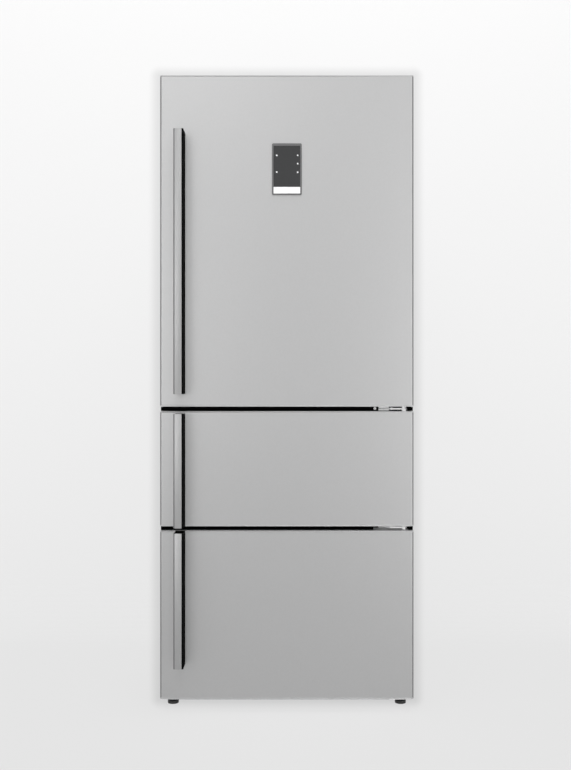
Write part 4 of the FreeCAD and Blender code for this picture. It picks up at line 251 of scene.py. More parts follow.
DOOR_STEEL = Finish(
    "door_steel", (0.422, 0.422, 0.4235), 0.42, 0.5, Grain.BRUSHED, 620.0, tone=0.012, cloud=0.012,
    cloud_scale=190.0, gloss_change=0.02, bump=0.05, bump_depth=0.0001,
)
# Darker grey of the door sides and rear returns, which also paints the shade on the rounded upright edges
# of the doors.
DOOR_SIDE_AND_EDGE_SHADE = Finish("door_side_and_edge_shade", (0.17, 0.17, 0.172), 0.5, 0.3, scale=1300.0)
CABINET_PAINT = Finish("cabinet_paint", (0.36, 0.36, 0.365), 0.45, 0.25, scale=1300.0, bump=0.2)
CAP_PLASTIC = Finish("cap_plastic", (0.45, 0.45, 0.453), 0.5, scale=1800.0, bump=0.25)
LINER_PLASTIC = Finish(
    "liner_plastic", (0.82, 0.82, 0.81), 0.28, scale=600.0, tone=0.01, bump=0.05, coat=0.1
)
BLACK_PLASTIC = Finish("black_plastic", (0.012, 0.012, 0.012), 0.5, scale=2200.0, tone=0.15, bump=0.3)
GRIP_PLASTIC = Finish(
    "grip_plastic", (0.002, 0.002, 0.002), 0.7, scale=2200.0, tone=0.15, bump=0.3, specular=0.02
)
HANDLE_ALUMINIUM = Finish(
    "handle_aluminium", (0.34, 0.34, 0.342), 0.46, 0.4, Grain.UPRIGHT, 1800.0, cloud=0.01,
    cloud_scale=4.0, gloss_change=0.02, bump=0.06, bump_depth=0.0001,
)
# Darker tone on the handle cover's rounded left edge and left side: painted shade.
HANDLE_FLANK_SHADE = Finish("handle_flank_shade", (0.17, 0.17, 0.172), 0.5, 0.4, Grain.UPRIGHT, 1800.0, bump=0.06)
BEZEL_PLASTIC = Finish("bezel_plastic", (0.12, 0.12, 0.122), 0.4, 0.2, scale=1600.0, bump=0.08)
DARK_GLASS = Finish(
    "dark_glass", (0.019, 0.0195, 0.0205), 0.12, scale=500.0, tone=0.04, bump=0.0, coat=0.2
)
STRIP_PLASTIC = Finish(
    "strip_plastic", (0.98, 0.98, 0.98), 0.3, scale=700.0, tone=0.005, cloud=0.005, bump=0.02
)
MARK_PRINT = Finish("mark_print", (0.92, 0.92, 0.92), 0.5, scale=2500.0, bump=0.05)
FOAM = Finish(
    "foam", (0.80, 0.70, 0.42), 0.9, scale=420.0, tone=0.12, cloud=0.08, bump=0.6, bump_depth=0.0008
)
SEAL_RUBBER = Finish("seal_rubber", (0.30, 0.30, 0.305), 0.65, scale=1500.0, tone=0.06, bump=0.2)
HINGE_STEEL = Finish("hinge_steel", (0.88, 0.88, 0.88), 0.45, 0.2, Grain.CROSSWISE, 1500.0, tone=0.08)
SCREW_STEEL = Finish("screw_steel", (0.68, 0.68, 0.68), 0.22, 1.0, scale=2500.0, tone=0.08, bump=0.1)
GALVANISED = Finish(
    "galvanised", (0.52, 0.53, 0.54), 0.42, 0.9, scale=70.0, tone=0.16, cloud=0.05, bump=0.05,
    bump_depth=0.0003,
)
BLACK_STEEL = Finish(
    "black_steel", (0.015, 0.015, 0.016), 0.42, 0.2, scale=1200.0, tone=0.2, bump=0.2, coat=0.2
)
# Near-black finish without reflection on the mullion rails and hinge flanges: painted shade in the door
# gaps.
GAP_SHADE_BLACK = Finish(
    "gap_shade_black", (0.0015, 0.0015, 0.0015), 0.7, scale=1200.0, tone=0.2, bump=0.2, specular=0.0
)
CLEAR_GLASS = Finish(
    "clear_glass", (0.80, 0.90, 0.87), 0.04, scale=30.0, tone=0.01, gloss_change=0.02, bump=0.0, clear=0.9
)
DRAWER_PLASTIC = Finish(
    "drawer_plastic", (0.80, 0.84, 0.87), 0.11, scale=400.0, tone=0.01, bump=0.04, clear=0.78,
    refraction=1.2,
)
DUCT_PLASTIC = Finish("duct_plastic", (0.74, 0.74, 0.735), 0.42, tone=0.02, bump=0.12)
BARE_ALUMINIUM = Finish("bare_aluminium", (0.72, 0.73, 0.74), 0.35, 1.0, Grain.UPRIGHT, tone=0.08)
BLACK_RUBBER = Finish("black_rubber", (0.012, 0.012, 0.012), 0.8, scale=1500.0, tone=0.25, bump=0.3)


def islands(items: Iterable[Item], near: Callable[[Item, Item], Iterable[Item]]) -> Iterator[list[Item]]:
    """Sort what hangs together into groups.

    Args:
        items: Corners or faces.
        near: Gives the neighbours of one that join it, from itself and the first of its group.

    Yields:
        Each group, in the order in which its members are found.
    """
    seen: set[Item] = set()
    for start in items:
        if start in seen:
            continue
        seen.add(start)
        group = [start]
        for item in group:
            for other in near(item, start):
                if other not in seen:
                    seen.add(other)
                    group.append(other)
        yield group


class Shape:
    """Mesh helpers that every sub-assembly uses."""

    @staticmethod
    def link(data: bpy.types.ID, name: str) -> bpy.types.Object:
        """Put a mesh, a camera or a lamp into the scene.

        Args:
            data: What the object shows.
            name: Object name.

        Returns:
            The new object at the origin.
        """
        made = bpy.data.objects.new(name, data)
        bpy.context.scene.collection.objects.link(made)
        return made

    @staticmethod
    def welded(node: str) -> bmesh.types.BMesh:
        """Open a copy of a node's mesh with its loose corners merged.

        Args:
            node: Node name.

        Returns:
            The copy.
        """
        build = bmesh.new()
        build.from_mesh(frame["nodes"][node].data)
        bmesh.ops.remove_doubles(build, verts=build.verts, dist=WELD)
        return build

    @staticmethod
    def closed(build: bmesh.types.BMesh, name: str) -> bpy.types.Mesh:
        """Close an open mesh.

        Args:
            build: Open mesh.
            name: Name of the result.

        Returns:
            The finished mesh.
        """
        mesh = bpy.data.meshes.new(name)
        build.to_mesh(mesh)
        build.free()
        return mesh

    @staticmethod
    def smooth(mesh: bpy.types.Mesh, degrees: float = MOULDED_EDGE) -> None:
        """Shade a mesh smooth, apart from sharp edges and wide flat stretches.

        Args:
            mesh: Mesh to shade.
            degrees: Angle from which an edge stays sharp.
        """
        mesh.set_sharp_from_angle(angle=math.radians(degrees))
        build = bmesh.new()
        build.from_mesh(mesh)
        for stretch in islands(build.faces, lambda face, first: (
            other for edge in face.edges for other in edge.link_faces
            if other.normal.dot(first.normal) > SAME_PLANE
        )):
            corners = [corner.co for face in stretch for corner in face.verts]
            reach = max(max(axis) - min(axis) for axis in zip(*corners))
            curved = sum(face.calc_area() for face in stretch) < FLAT_WIDTH * reach
            for face in stretch:
                face.smooth = curved
        build.to_mesh(mesh)
        build.free()

    @staticmethod
    def prism(outline: list[Flat], low: float, high: float, name: str) -> bpy.types.Mesh:
        """Upright prism of a closed outline.

        Args:
            outline: Corners on the floor plane.
            low: Lower height.
            high: Upper height.
            name: Mesh name.

        Returns:
            A closed mesh with outward faces.
        """
        build = bmesh.new()
        floor, roof = [[build.verts.new((x, y, z)) for x, y in outline] for z in (low, high)]
        build.faces.new(floor[::-1])
        build.faces.new(roof)
        for side in zip(floor, floor[1:] + floor[:1], roof[1:] + roof[:1], roof):
            build.faces.new(side)
        bmesh.ops.recalc_face_normals(build, faces=build.faces)
        return Shape.closed(build, name)

    @staticmethod
    def arc(centre: Flat, radius: float, start: float, end: float, steps: int) -> list[Flat]:
        """Points along an arc with both ends, from one angle in degrees to another."""
        turns = [math.radians(start + (end - start) * step / steps) for step in range(steps + 1)]
        return [
            (centre[0] + radius * math.cos(turn), centre[1] + radius * math.sin(turn)) for turn in turns
        ]

    @staticmethod
    def bevelled(mesh: bpy.types.Mesh, width: float) -> None:
        """Round the sharp edges of a mesh.

        Args:
            mesh: Mesh to change.
            width: Bevel width.
        """
        build = bmesh.new()
        build.from_mesh(mesh)
        sharp = [
            edge for edge in build.edges
            if len(edge.link_faces) == 2 and edge.calc_face_angle(0.0) > math.radians(BEVEL_EDGE)
        ]
        bmesh.ops.bevel(
            build, geom=sharp, offset=width, offset_type="OFFSET", segments=BEVEL_ROWS, profile=0.5,
            affect="EDGES", clamp_overlap=True,
        )
        bmesh.ops.recalc_face_normals(build, faces=build.faces)
        build.to_mesh(mesh)
        build.free()

    @staticmethod
    def path_seed(lines: list[list[Point]], closed: bool = False) -> bpy.types.Mesh:
        """Seed mesh of plain lines.

        Args:
            lines: Points of each line in order.
            closed: Whether each line ends where it starts.

        Returns:
            A mesh with edges between the points.
        """
        points: list[Point] = []
        edges: list[tuple[int, int]] = []
        for line in lines:
            first = len(points)
            last = first + len(line) - 1
            points += line
            edges += [(index, index + 1) for index in range(first, last)]
            if closed:
                edges.append((last, first))
        mesh = bpy.data.meshes.new("seed")
        mesh.from_pydata(points, edges, [])
        return mesh

    @staticmethod
    def point_seed(spots: list[tuple[Point, Point]]) -> bpy.types.Mesh:
        """Seed mesh of loose points that each face a way.

        Args:
            spots: Place and direction of each point.

        Returns:
            A mesh with the directions kept on its points.
        """
        mesh = bpy.data.meshes.new("seed")
        mesh.from_pydata([place for place, _ in spots], [], [])
        kept = mesh.attributes.new("way", "FLOAT_VECTOR", "POINT")
        for item, (_, way) in zip(kept.data, spots):
            item.vector = way
        return mesh


@dataclass(frozen=True)
class Solid:
    """One closed solid of a node.

    Attributes:
        mesh: Its merged mesh.
        low: Lowest corner.
        high: Highest corner.
    """

    mesh: bpy.types.Mesh
    low: Vector
    high: Vector

    @property
    def size(self) -> Vector:
        """Width, depth and height."""
        return self.high - self.low

    @property
    def middle(self) -> Vector:
        """Middle of its box."""
        return (self.low + self.high) / 2

    @staticmethod
    def of(node: str) -> list["Solid"]:
        """Take a copy of a node's mesh apart.

        Args:
            node: Node name.

        Returns:
            Its solids.
        """
        whole = Shape.welded(node)
        solids = []
        for members in islands(whole.verts, lambda corner, _: (
            edge.other_vert(corner) for edge in corner.link_edges
        )):
            places = {corner: index for index, corner in enumerate(members)}
            faces = dict.fromkeys(face for corner in members for face in corner.link_faces)
            mesh = bpy.data.meshes.new(f"{node}_solid")
            mesh.from_pydata(
                [corner.co.copy() for corner in members], [],
                [[places[corner] for corner in face.verts] for face in faces],
            )
            axes = list(zip(*(corner.co for corner in members)))
            solids.append(Solid(mesh, Vector(map(min, axes)), Vector(map(max, axes))))
        whole.free()
        return solids


class Dresser:
    """Gives nodes and new pieces their finish and their body."""

    @staticmethod
    def paint(node: str, finish: Finish) -> None:
        """Give a kept node its material.

        Args:
            node: Node name.
            finish: Its finish.
        """
        slots = frame["nodes"][node].data.materials
        slots.clear()
        slots.append(finish.material())
        LOG.info("dressed %s in %s", node, finish.name)

    @staticmethod
    def rounded(node: str, finish: Finish) -> bpy.types.Object:
        """Show a node with smooth round stretches.

        Args:
            node: Node name.
            finish: Its finish.

        Returns:
            The piece that stands for the node.
        """
        mesh = Shape.closed(Shape.welded(node), f"{node}_round")
        Shape.smooth(mesh)
        return Dresser.stand_in(mesh, finish, BODY_OF[node], node)

    @staticmethod
    def stand_in(mesh: bpy.types.Mesh, finish: Finish, body: str, *nodes: str) -> bpy.types.Object:
        """Put a new piece on a body, in place of nodes.

        Args:
            mesh: Finished mesh, which names the piece.
            finish: Its finish.
            body: Body that it rides on.
            nodes: Nodes that it stands for.

        Returns:
            The piece.
        """
        mesh.materials.clear()
        mesh.materials.append(finish.material())
        piece = Shape.link(mesh, mesh.name)
        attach(piece, body)
        if nodes:
            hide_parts(*nodes)
        LOG.info("made %s in %s on %s", piece.name, finish.name, body)
        return piece

    @staticmethod
    def second(
        piece: bpy.types.Object, finish: Finish, takes: Callable[[bpy.types.MeshPolygon], bool]
    ) -> None:
        """Give some faces of a piece another finish.

        Args:
            piece: Piece with a finish.
            finish: The other finish.
            takes: Whether a face takes it.
        """
        slot = len(piece.data.materials)
        piece.data.materials.append(finish.material())
        for face in piece.data.polygons:
            if takes(face):
                face.material_index = slot


class Socket(Enum):
    """Kinds of named inputs of a node group."""

    COUNT = "NodeSocketInt"
    LENGTH = "NodeSocketFloat"
    PLACE = "NodeSocketVector"
    FINISH = "NodeSocketMaterial"


class Pattern(Wiring):
    """A geometry node group with named inputs, and its use on a mesh."""

    def __init__(self, name: str, **inputs: Socket) -> None:
        """Start a group.

        Args:
            name: Group name.
            inputs: Kind of each named input.
        """
        super().__init__(bpy.data.node_groups.new(name, "GeometryNodeTree"))
        face = self.tree.interface
        for way in ("INPUT", "OUTPUT"):
            face.new_socket(name="Geometry", in_out=way, socket_type="NodeSocketGeometry")
        self.keys = {
            label: face.new_socket(name=label, in_out="INPUT", socket_type=kind.value).identifier
            for label, kind in {**inputs, "Finish": Socket.FINISH}.items()
        }
        self.inlet = self.add("NodeGroupInput").outputs

    def lifted(self, shape: Output, height: Output) -> Output:
        """Move a shape up by a height."""
        way = self.add("ShaderNodeCombineXYZ", {"Z": height}).outputs["Vector"]
        return self.add(
            "GeometryNodeTransform", {"Geometry": shape, "Translation": way}
        ).outputs["Geometry"]

    def rod(self, radius: str, length: str) -> Output:
        """Round rod of two named inputs."""
        fed = {"Radius": self.inlet[radius], "Depth": self.inlet[length], "Vertices": self.inlet["Sides"]}
        return self.add("GeometryNodeMeshCylinder", fed).outputs["Mesh"]

    def stand(self, shape: Output) -> "Pattern":
        """End the group in a shape on each point of the seed, along the way that the point faces.

        Args:
            shape: Shape that stands along z.

        Returns:
            The finished group.
        """
        way = self.add("GeometryNodeInputNamedAttribute", {"Name": "way"}, data_type="FLOAT_VECTOR")
        turn = self.add("FunctionNodeAlignRotationToVector", {"Vector": way.outputs["Attribute"]}, axis="Z")
        spread = self.add("GeometryNodeInstanceOnPoints", {
            "Points": self.inlet["Geometry"], "Instance": shape, "Rotation": turn.outputs["Rotation"],
        })
        return self.close(spread.outputs["Instances"])

    def close(self, geometry: Output) -> "Pattern":
        """End the group in real geometry with its finish.

        Args:
            geometry: Geometry to put out.

        Returns:
            The finished group.
        """
        real = self.add("GeometryNodeRealizeInstances", {"Geometry": geometry}).outputs["Geometry"]
        coat = self.add("GeometryNodeSetMaterial", {"Geometry": real, "Material": self.inlet["Finish"]})
        self.add("NodeGroupOutput", {"Geometry": coat.outputs["Geometry"]})
        return self

    def grow(self, seed: bpy.types.Mesh, name: str, finish: Finish, **values: object) -> bpy.types.Mesh:
        """Run the group on a mesh.

        Args:
            seed: Mesh that the group starts from, which is used up.
            name: Name of the result.
            finish: Finish of the result.
            values: Inputs by name.

        Returns:
            A plain mesh.
        """
        carrier = Shape.link(seed, "seed")
        grown = carrier.modifiers.new("pattern", "NODES")
        grown.node_group = self.tree
        for label, value in {"Finish": finish.material(), **values}.items():
            grown[self.keys[label]] = value
        bpy.context.view_layer.update()
        ready = carrier.evaluated_get(bpy.context.evaluated_depsgraph_get())
        mesh = bpy.data.meshes.new_from_object(ready)
        carrier.modifiers.remove(grown)
        bpy.data.objects.remove(carrier)
        bpy.data.meshes.remove(seed)
        mesh.name = name
        return mesh


class PatternBook:
    """The node groups for what repeats or follows a path."""

    def __init__(self) -> None:
        """Build every group once."""
        self.row = self._row()
        self.tube = self._tube()
        self.studs = self._studs()
        self.screws = self._screws()

    @staticmethod
    def _row() -> Pattern:
        """Straight row of equal bars.

        Returns:
            A group with the inputs Count, Start, Step and Size.
        """
        place = Socket.PLACE
        made = Pattern("bar_row", Count=Socket.COUNT, Start=place, Step=place, Size=place)
        line = made.add("GeometryNodeMeshLine", {
            "Count": made.inlet["Count"], "Start Location": made.inlet["Start"],
            "Offset": made.inlet["Step"],
        }, mode="OFFSET")
        bar = made.add("GeometryNodeMeshCube", {"Size": made.inlet["Size"]})
        spread = made.add("GeometryNodeInstanceOnPoints", {
            "Points": line.outputs["Mesh"], "Instance": bar.outputs["Mesh"],
        })
        return made.close(spread.outputs["Instances"])

    @staticmethod
    def _tube() -> Pattern:
        """Round tube along the edges of the seed mesh.

        Returns:
            A group with the inputs Radius and Sides.
        """
        made = Pattern("path_tube", Radius=Socket.LENGTH, Sides=Socket.COUNT)
        path = made.add("GeometryNodeMeshToCurve", {"Mesh": made.inlet["Geometry"]})
        ring = made.add("GeometryNodeCurvePrimitiveCircle", {
            "Radius": made.inlet["Radius"], "Resolution": made.inlet["Sides"],
        }, mode="RADIUS")
        skin = made.add("GeometryNodeCurveToMesh", {
            "Curve": path.outputs["Curve"], "Profile Curve": ring.outputs["Curve"], "Fill Caps": True,
        })
        soft = made.add("GeometryNodeSetShadeSmooth", {"Geometry": skin.outputs["Mesh"]})
        return made.close(soft.outputs["Geometry"])

    @staticmethod
    def _studs() -> Pattern:
        """Short round studs, with the inputs Radius, Height and Sides."""
        made = Pattern("point_studs", Radius=Socket.LENGTH, Height=Socket.LENGTH, Sides=Socket.COUNT)
        return made.stand(made.rod("Radius", "Height"))

    @staticmethod
    def _screws() -> Pattern:
        """Pan head screws with a cross recess.

        Returns:
            A group with the inputs Head, Crown, Rise, Shank, Length, Slot, Cross and Sides.
        """
        length, place = Socket.LENGTH, Socket.PLACE
        made = Pattern(
            "cross_screws", Head=length, Crown=length, Rise=length, Shank=length, Length=length,
            Slot=place, Cross=place, Sides=Socket.COUNT,
        )
        inlet = made.inlet
        head = made.add("GeometryNodeMeshCone", {
            "Radius Bottom": inlet["Head"], "Radius Top": inlet["Crown"], "Depth": inlet["Rise"],
            "Vertices": inlet["Sides"],
        })
        arms = [
            made.add("GeometryNodeMeshCube", {"Size": inlet[arm]}).outputs["Mesh"]
            for arm in ("Slot", "Cross")
        ]
        recess = made.add("GeometryNodeMeshBoolean", {
            "Mesh 1": head.outputs["Mesh"], "Mesh 2": [made.lifted(arm, inlet["Rise"]) for arm in arms],
        }, operation="DIFFERENCE")
        drop = made.number("MULTIPLY", inlet["Length"], -0.5)
        shank = made.lifted(made.rod("Shank", "Length"), drop)
        whole = made.add("GeometryNodeJoinGeometry", {"Geometry": [recess.outputs["Mesh"], shank]})
        return made.stand(whole.outputs["Geometry"])


PATTERNS = PatternBook()


@dataclass
class Door:
    """One hung door with its skin, caps, inner panel, gasket and handle.

    Attributes:
        name: Name of the door in the nodes.
        corner: Outer radius of the upright front edges.
        corner_steps: Parts of such an edge.
        back_corner: Outer radius of the upright rear edges.
        back_steps: Parts of such an edge.
        sheet: Thickness of the steel.
        fold: Width of the rear return.
        side_turn: Sideways share of the normal from which the skin takes the darker side grey, which also
            paints the shade on the rounded upright edges.
        crown: Bulge of the handle's front.
        crown_steps: Parts of its curve.
        handle_corner: Radius of the handle's outer edge.
        handle_steps: Parts of that edge.
        cover_sheet: Thickness of the handle cover's side.
        cover_face: Thickness of the handle cover's front edge.
        cover_round: Rounding of the cover's edges.
        flank_turn: Leftward share of the normal from which the cover takes a painted shade.
        lip: Width of the black lip beside the cover's face.
        lip_step: How far the lip lies back.
        lip_rise: Share of the crown left at the lip.
        lip_play: How far the lip's finish reaches over its edge.
    """

    name: str
    corner: float = 0.006
    corner_steps: int = 10
    back_corner: float = 0.0025
    back_steps: int = 4
    sheet: float = 0.001
    fold: float = 0.014
    side_turn: float = 0.33
    crown: float = 0.0012
    crown_steps: int = 16
    handle_corner: float = 0.005
    handle_steps: int = 8
    cover_sheet: float = 0.002
    cover_face: float = 0.003
    cover_round: float = 0.0003
    flank_turn: float = 0.2
    lip: float = 0.0046
    lip_step: float = 0.0005
    lip_rise: float = 0.6
    lip_play: float = 0.0001

    @property
    def body(self) -> str:
        """Body that the door is."""
        return f"{self.name}_door"

    def skin(self) -> None:
        """Folded skin: a brushed front with rounded edges, and sides in a darker grey that also paints the
        shade on the rounded upright edges.
        """
        low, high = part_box(f"{self.name}_door_skin")
        outline = self._section(low, high, 0.0) + self._section(low, high, self.sheet)[::-1]
        mesh = Shape.prism(outline, low.z, high.z, f"{self.name}_door_front")
        Shape.smooth(mesh, SHEET_EDGE)
        piece = Dresser.stand_in(mesh, DOOR_STEEL, self.body, f"{self.name}_door_skin")
        # Painted shade: the rounded upright edges take the darker side grey, as the sides and rear return
        # do.
        Dresser.second(
            piece, DOOR_SIDE_AND_EDGE_SHADE, lambda face: abs(face.normal.x) > self.side_turn or face.normal.y > 0.0
        )

    def _section(self, low: Vector, high: Vector, inset: float) -> list[Flat]:
        """One line of the skin's section, from the left return round to the right one.

        Args:
            low: Lowest corner of the skin.
            high: Highest corner of the skin.
            inset: How far the line lies inside the outer face.

        Returns:
            Points from left to right.
        """
        right, front, back = high.x - inset, low.y + inset, high.y - inset
        near, far = self.corner - inset, self.back_corner - inset
        fold = high.x - self.fold
        points = [(-fold, back)]
        for centre, radius, start, steps in (
            ((-right + far, back - far), far, 90, self.back_steps),
            ((-right + near, front + near), near, 180, self.corner_steps),
            ((right - near, front + near), near, 270, self.corner_steps),
            ((right - far, back - far), far, 0, self.back_steps),
        ):
            points += Shape.arc(centre, radius, start, start + 90, steps)
        return points + [(fold, back)]

    def handle(self) -> None:
        """Crowned aluminium cover with a rounded outer edge in painted shade and a black lip, and the black
        grip.
        """
        low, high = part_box(f"{self.name}_handle_cover")
        left, right, front, back = low.x, high.x, low.y, high.y
        shoulder = front + self.crown
        turn = left + self.handle_corner
        split = right - self.lip
        half = (right - turn) / 2
        radius = (half * half + self.crown * self.crown) / (2 * self.crown)
        spread = math.degrees(math.asin(half / radius))
        middle = (turn + right) / 2
        bend = Shape.arc(
            (turn, shoulder + self.handle_corner), self.handle_corner, 180, 270, self.handle_steps
        )
        face = Shape.arc((middle, front + radius), radius, 270 - spread, 270 + spread, self.crown_steps)
        kept = [point for point in face if point[0] < split - self.lip_step]
        edge = front + self.crown * self.lip_rise
        inner = shoulder + self.cover_face
        outline = [(left, back)] + bend[:-1] + kept + [
            (split, edge), (split, edge + self.lip_step), (right, edge + 2 * self.lip_step), (right, inner),
            (left + self.cover_sheet, inner), (left + self.cover_sheet, back),
        ]
        mesh = Shape.prism(outline, low.z, high.z, f"{self.name}_handle_bar")
        Shape.bevelled(mesh, self.cover_round)
        Shape.smooth(mesh, SHEET_EDGE)
        piece = Dresser.stand_in(mesh, HANDLE_ALUMINIUM, self.body, f"{self.name}_handle_cover")
        # Painted shade on the cover's rounded left edge and left side.
        Dresser.second(piece, HANDLE_FLANK_SHADE, lambda side: side.normal.x < -self.flank_turn)
        Dresser.second(piece, GRIP_PLASTIC, lambda side: side.center.x > split - self.lip_play)
        Dresser.rounded(f"{self.name}_handle_grip", GRIP_PLASTIC)

    def trim(self) -> None:
        """Caps, inner panel, gasket and foam."""
        Dresser.rounded(f"{self.name}_door_caps", CAP_PLASTIC)
        Dresser.rounded(f"{self.name}_door_panel", LINER_PLASTIC)
        Dresser.paint(f"{self.name}_door_gasket", SEAL_RUBBER)
        Dresser.paint(f"{self.name}_door_foam", FOAM)

    def build(self) -> None:
        """Build the whole door."""
        self.skin()
        self.handle()
        self.trim()


@dataclass
class Display:
    """Touch display on the fridge door.

    Attributes:
        mark_radius: Radius of a touch mark.
        mark_height: Height of a mark.
        mark_sunk: How deep a mark sits in the glass.
        mark_sides: Sides of a mark.
        left_marks: Marks of the left column, as heights above the glass's lower edge.
        right_marks: Marks of the right column.
        side: Distance of both columns from the middle.
        shift: How far both columns lie to the right.
    """

    mark_radius: float = 0.0024
    mark_height: float = 0.0003
    mark_sunk: float = 0.0001
    mark_sides: int = 20
    left_marks: tuple[float, ...] = (0.0435, 0.092)
    right_marks: tuple[float, ...] = (0.043, 0.068, 0.092)
    side: float = 0.0305
    shift: float = 0.001

    def build(self) -> None:
        """Bezel, glass, strip and the touch marks."""
        Dresser.rounded("display_frame", BEZEL_PLASTIC)
        Dresser.paint("display_glass", DARK_GLASS)
        Dresser.paint("display_strip", STRIP_PLASTIC)
        low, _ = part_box("display_glass")
        face = low.y - self.mark_height / 2 + self.mark_sunk
        columns = ((-self.side, self.left_marks), (self.side, self.right_marks))
        spots = [
            ((side + self.shift, face, low.z + z), (0.0, -1.0, 0.0))
            for side, marks in columns for z in marks
        ]
        mesh = PATTERNS.studs.grow(
            Shape.point_seed(spots), "display_marks", MARK_PRINT, Radius=self.mark_radius,
            Height=self.mark_height, Sides=self.mark_sides,
        )
        Dresser.stand_in(mesh, MARK_PRINT, "fridge_door")


@dataclass
class Cabinet:
    """Outer case, liners, rails, hinges and standing parts.

    Attributes:
        painted: Nodes that keep their mesh, with their finish.
        rounded: Nodes that are shown with smooth round stretches, with their finish.
        flange: Thickness of the flange behind the middle hinges, which takes the near-black painted gap
            shade.
        head: Radius of a hinge screw's head.
        crown: Radius of the head's top.
        rise: Height of the head.
        shank: Radius of the shank.
        length: Length of the shank.
        slot: Length, width and depth of one arm of the cross recess.
        sides: Sides of a screw.
    """

    painted: tuple[tuple[str, Finish], ...] = (
        ("back_panel", GALVANISED),
        # The mullion rails take the near-black painted gap shade.
        ("mullion_rails", GAP_SHADE_BLACK),
        ("insulation_foam", FOAM),
        ("glass_shelves", CLEAR_GLASS),
        ("shelf_trims", DUCT_PLASTIC),
    )
    rounded: tuple[tuple[str, Finish], ...] = (
        ("outer_wrap", CABINET_PAINT),
        ("base_frame", GALVANISED),
        ("fridge_liner", LINER_PLASTIC),
        ("chill_liner", LINER_PLASTIC),
        ("freezer_liner", LINER_PLASTIC),
        ("top_hinge", HINGE_STEEL),
        ("top_hinge_cover", CAP_PLASTIC),
        ("bottom_hinge", HINGE_STEEL),
        ("front_foot_left", BLACK_PLASTIC),
        ("front_foot_right", BLACK_PLASTIC),
        ("rear_roller_left", BLACK_PLASTIC),
        ("rear_roller_right", BLACK_PLASTIC),
        ("cord_gland", BLACK_PLASTIC),
    )
    flange: float = 0.0031
    head: float = 0.0055
    crown: float = 0.0041
    rise: float = 0.0026
    shank: float = 0.0025
    length: float = 0.015
    slot: Point = (0.0054, 0.0011, 0.0028)
    sides: int = 24

    def hinges(self) -> None:
        """Middle hinges: bare steel arms and bosses on flanges in near-black painted gap shade."""
        piece = Dresser.rounded("middle_hinges", HINGE_STEEL)
        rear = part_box("middle_hinges")[1].y - self.flange
        # Painted shade: the hinge flanges go near-black like the gaps around them.
        Dresser.second(piece, GAP_SHADE_BLACK, lambda face: face.center.y > rear)

    def screws(self) -> None:
        """Hinge screws with a cross recess, seated where the plain ones are."""
        spots: list[tuple[Point, Point]] = []
        for solid in Solid.of("hinge_screws"):
            x, y, z = solid.middle
            if solid.size.z > solid.size.y:
                spots.append(((x, y, solid.high.z - self.rise), (0.0, 0.0, 1.0)))
            else:
                spots.append(((x, solid.low.y + self.rise, z), (0.0, -1.0, 0.0)))
        reach, width, depth = self.slot
        mesh = PATTERNS.screws.grow(
            Shape.point_seed(spots), "cross_screws", SCREW_STEEL, Head=self.head, Crown=self.crown,
            Rise=self.rise, Shank=self.shank, Length=self.length, Slot=self.slot,
            Cross=(width, reach, depth), Sides=self.sides,
        )
        Shape.smooth(mesh)
        Dresser.stand_in(mesh, SCREW_STEEL, BODY_OF["hinge_screws"], "hinge_screws")

    def build(self) -> None:
        """Dress every part of the cabinet."""
        for node, finish in self.painted:
            Dresser.paint(node, finish)
        for node, finish in self.rounded:
            Dresser.rounded(node, finish)
        self.hinges()
        self.screws()


@dataclass
class Storage:
    """Drawers and door balconies.

    Attributes:
        nodes: Every tray.
    """

    nodes: tuple[str, ...] = (
        "crisper_drawer", "chill_drawer", "freezer_drawer_upper", "freezer_drawer_lower",
        "balcony_bottle", "balcony_middle", "balcony_upper",
    )

    def build(self) -> None:
        """Dress every tray."""
        for node in self.nodes:
            Dresser.rounded(node, DRAWER_PLASTIC)


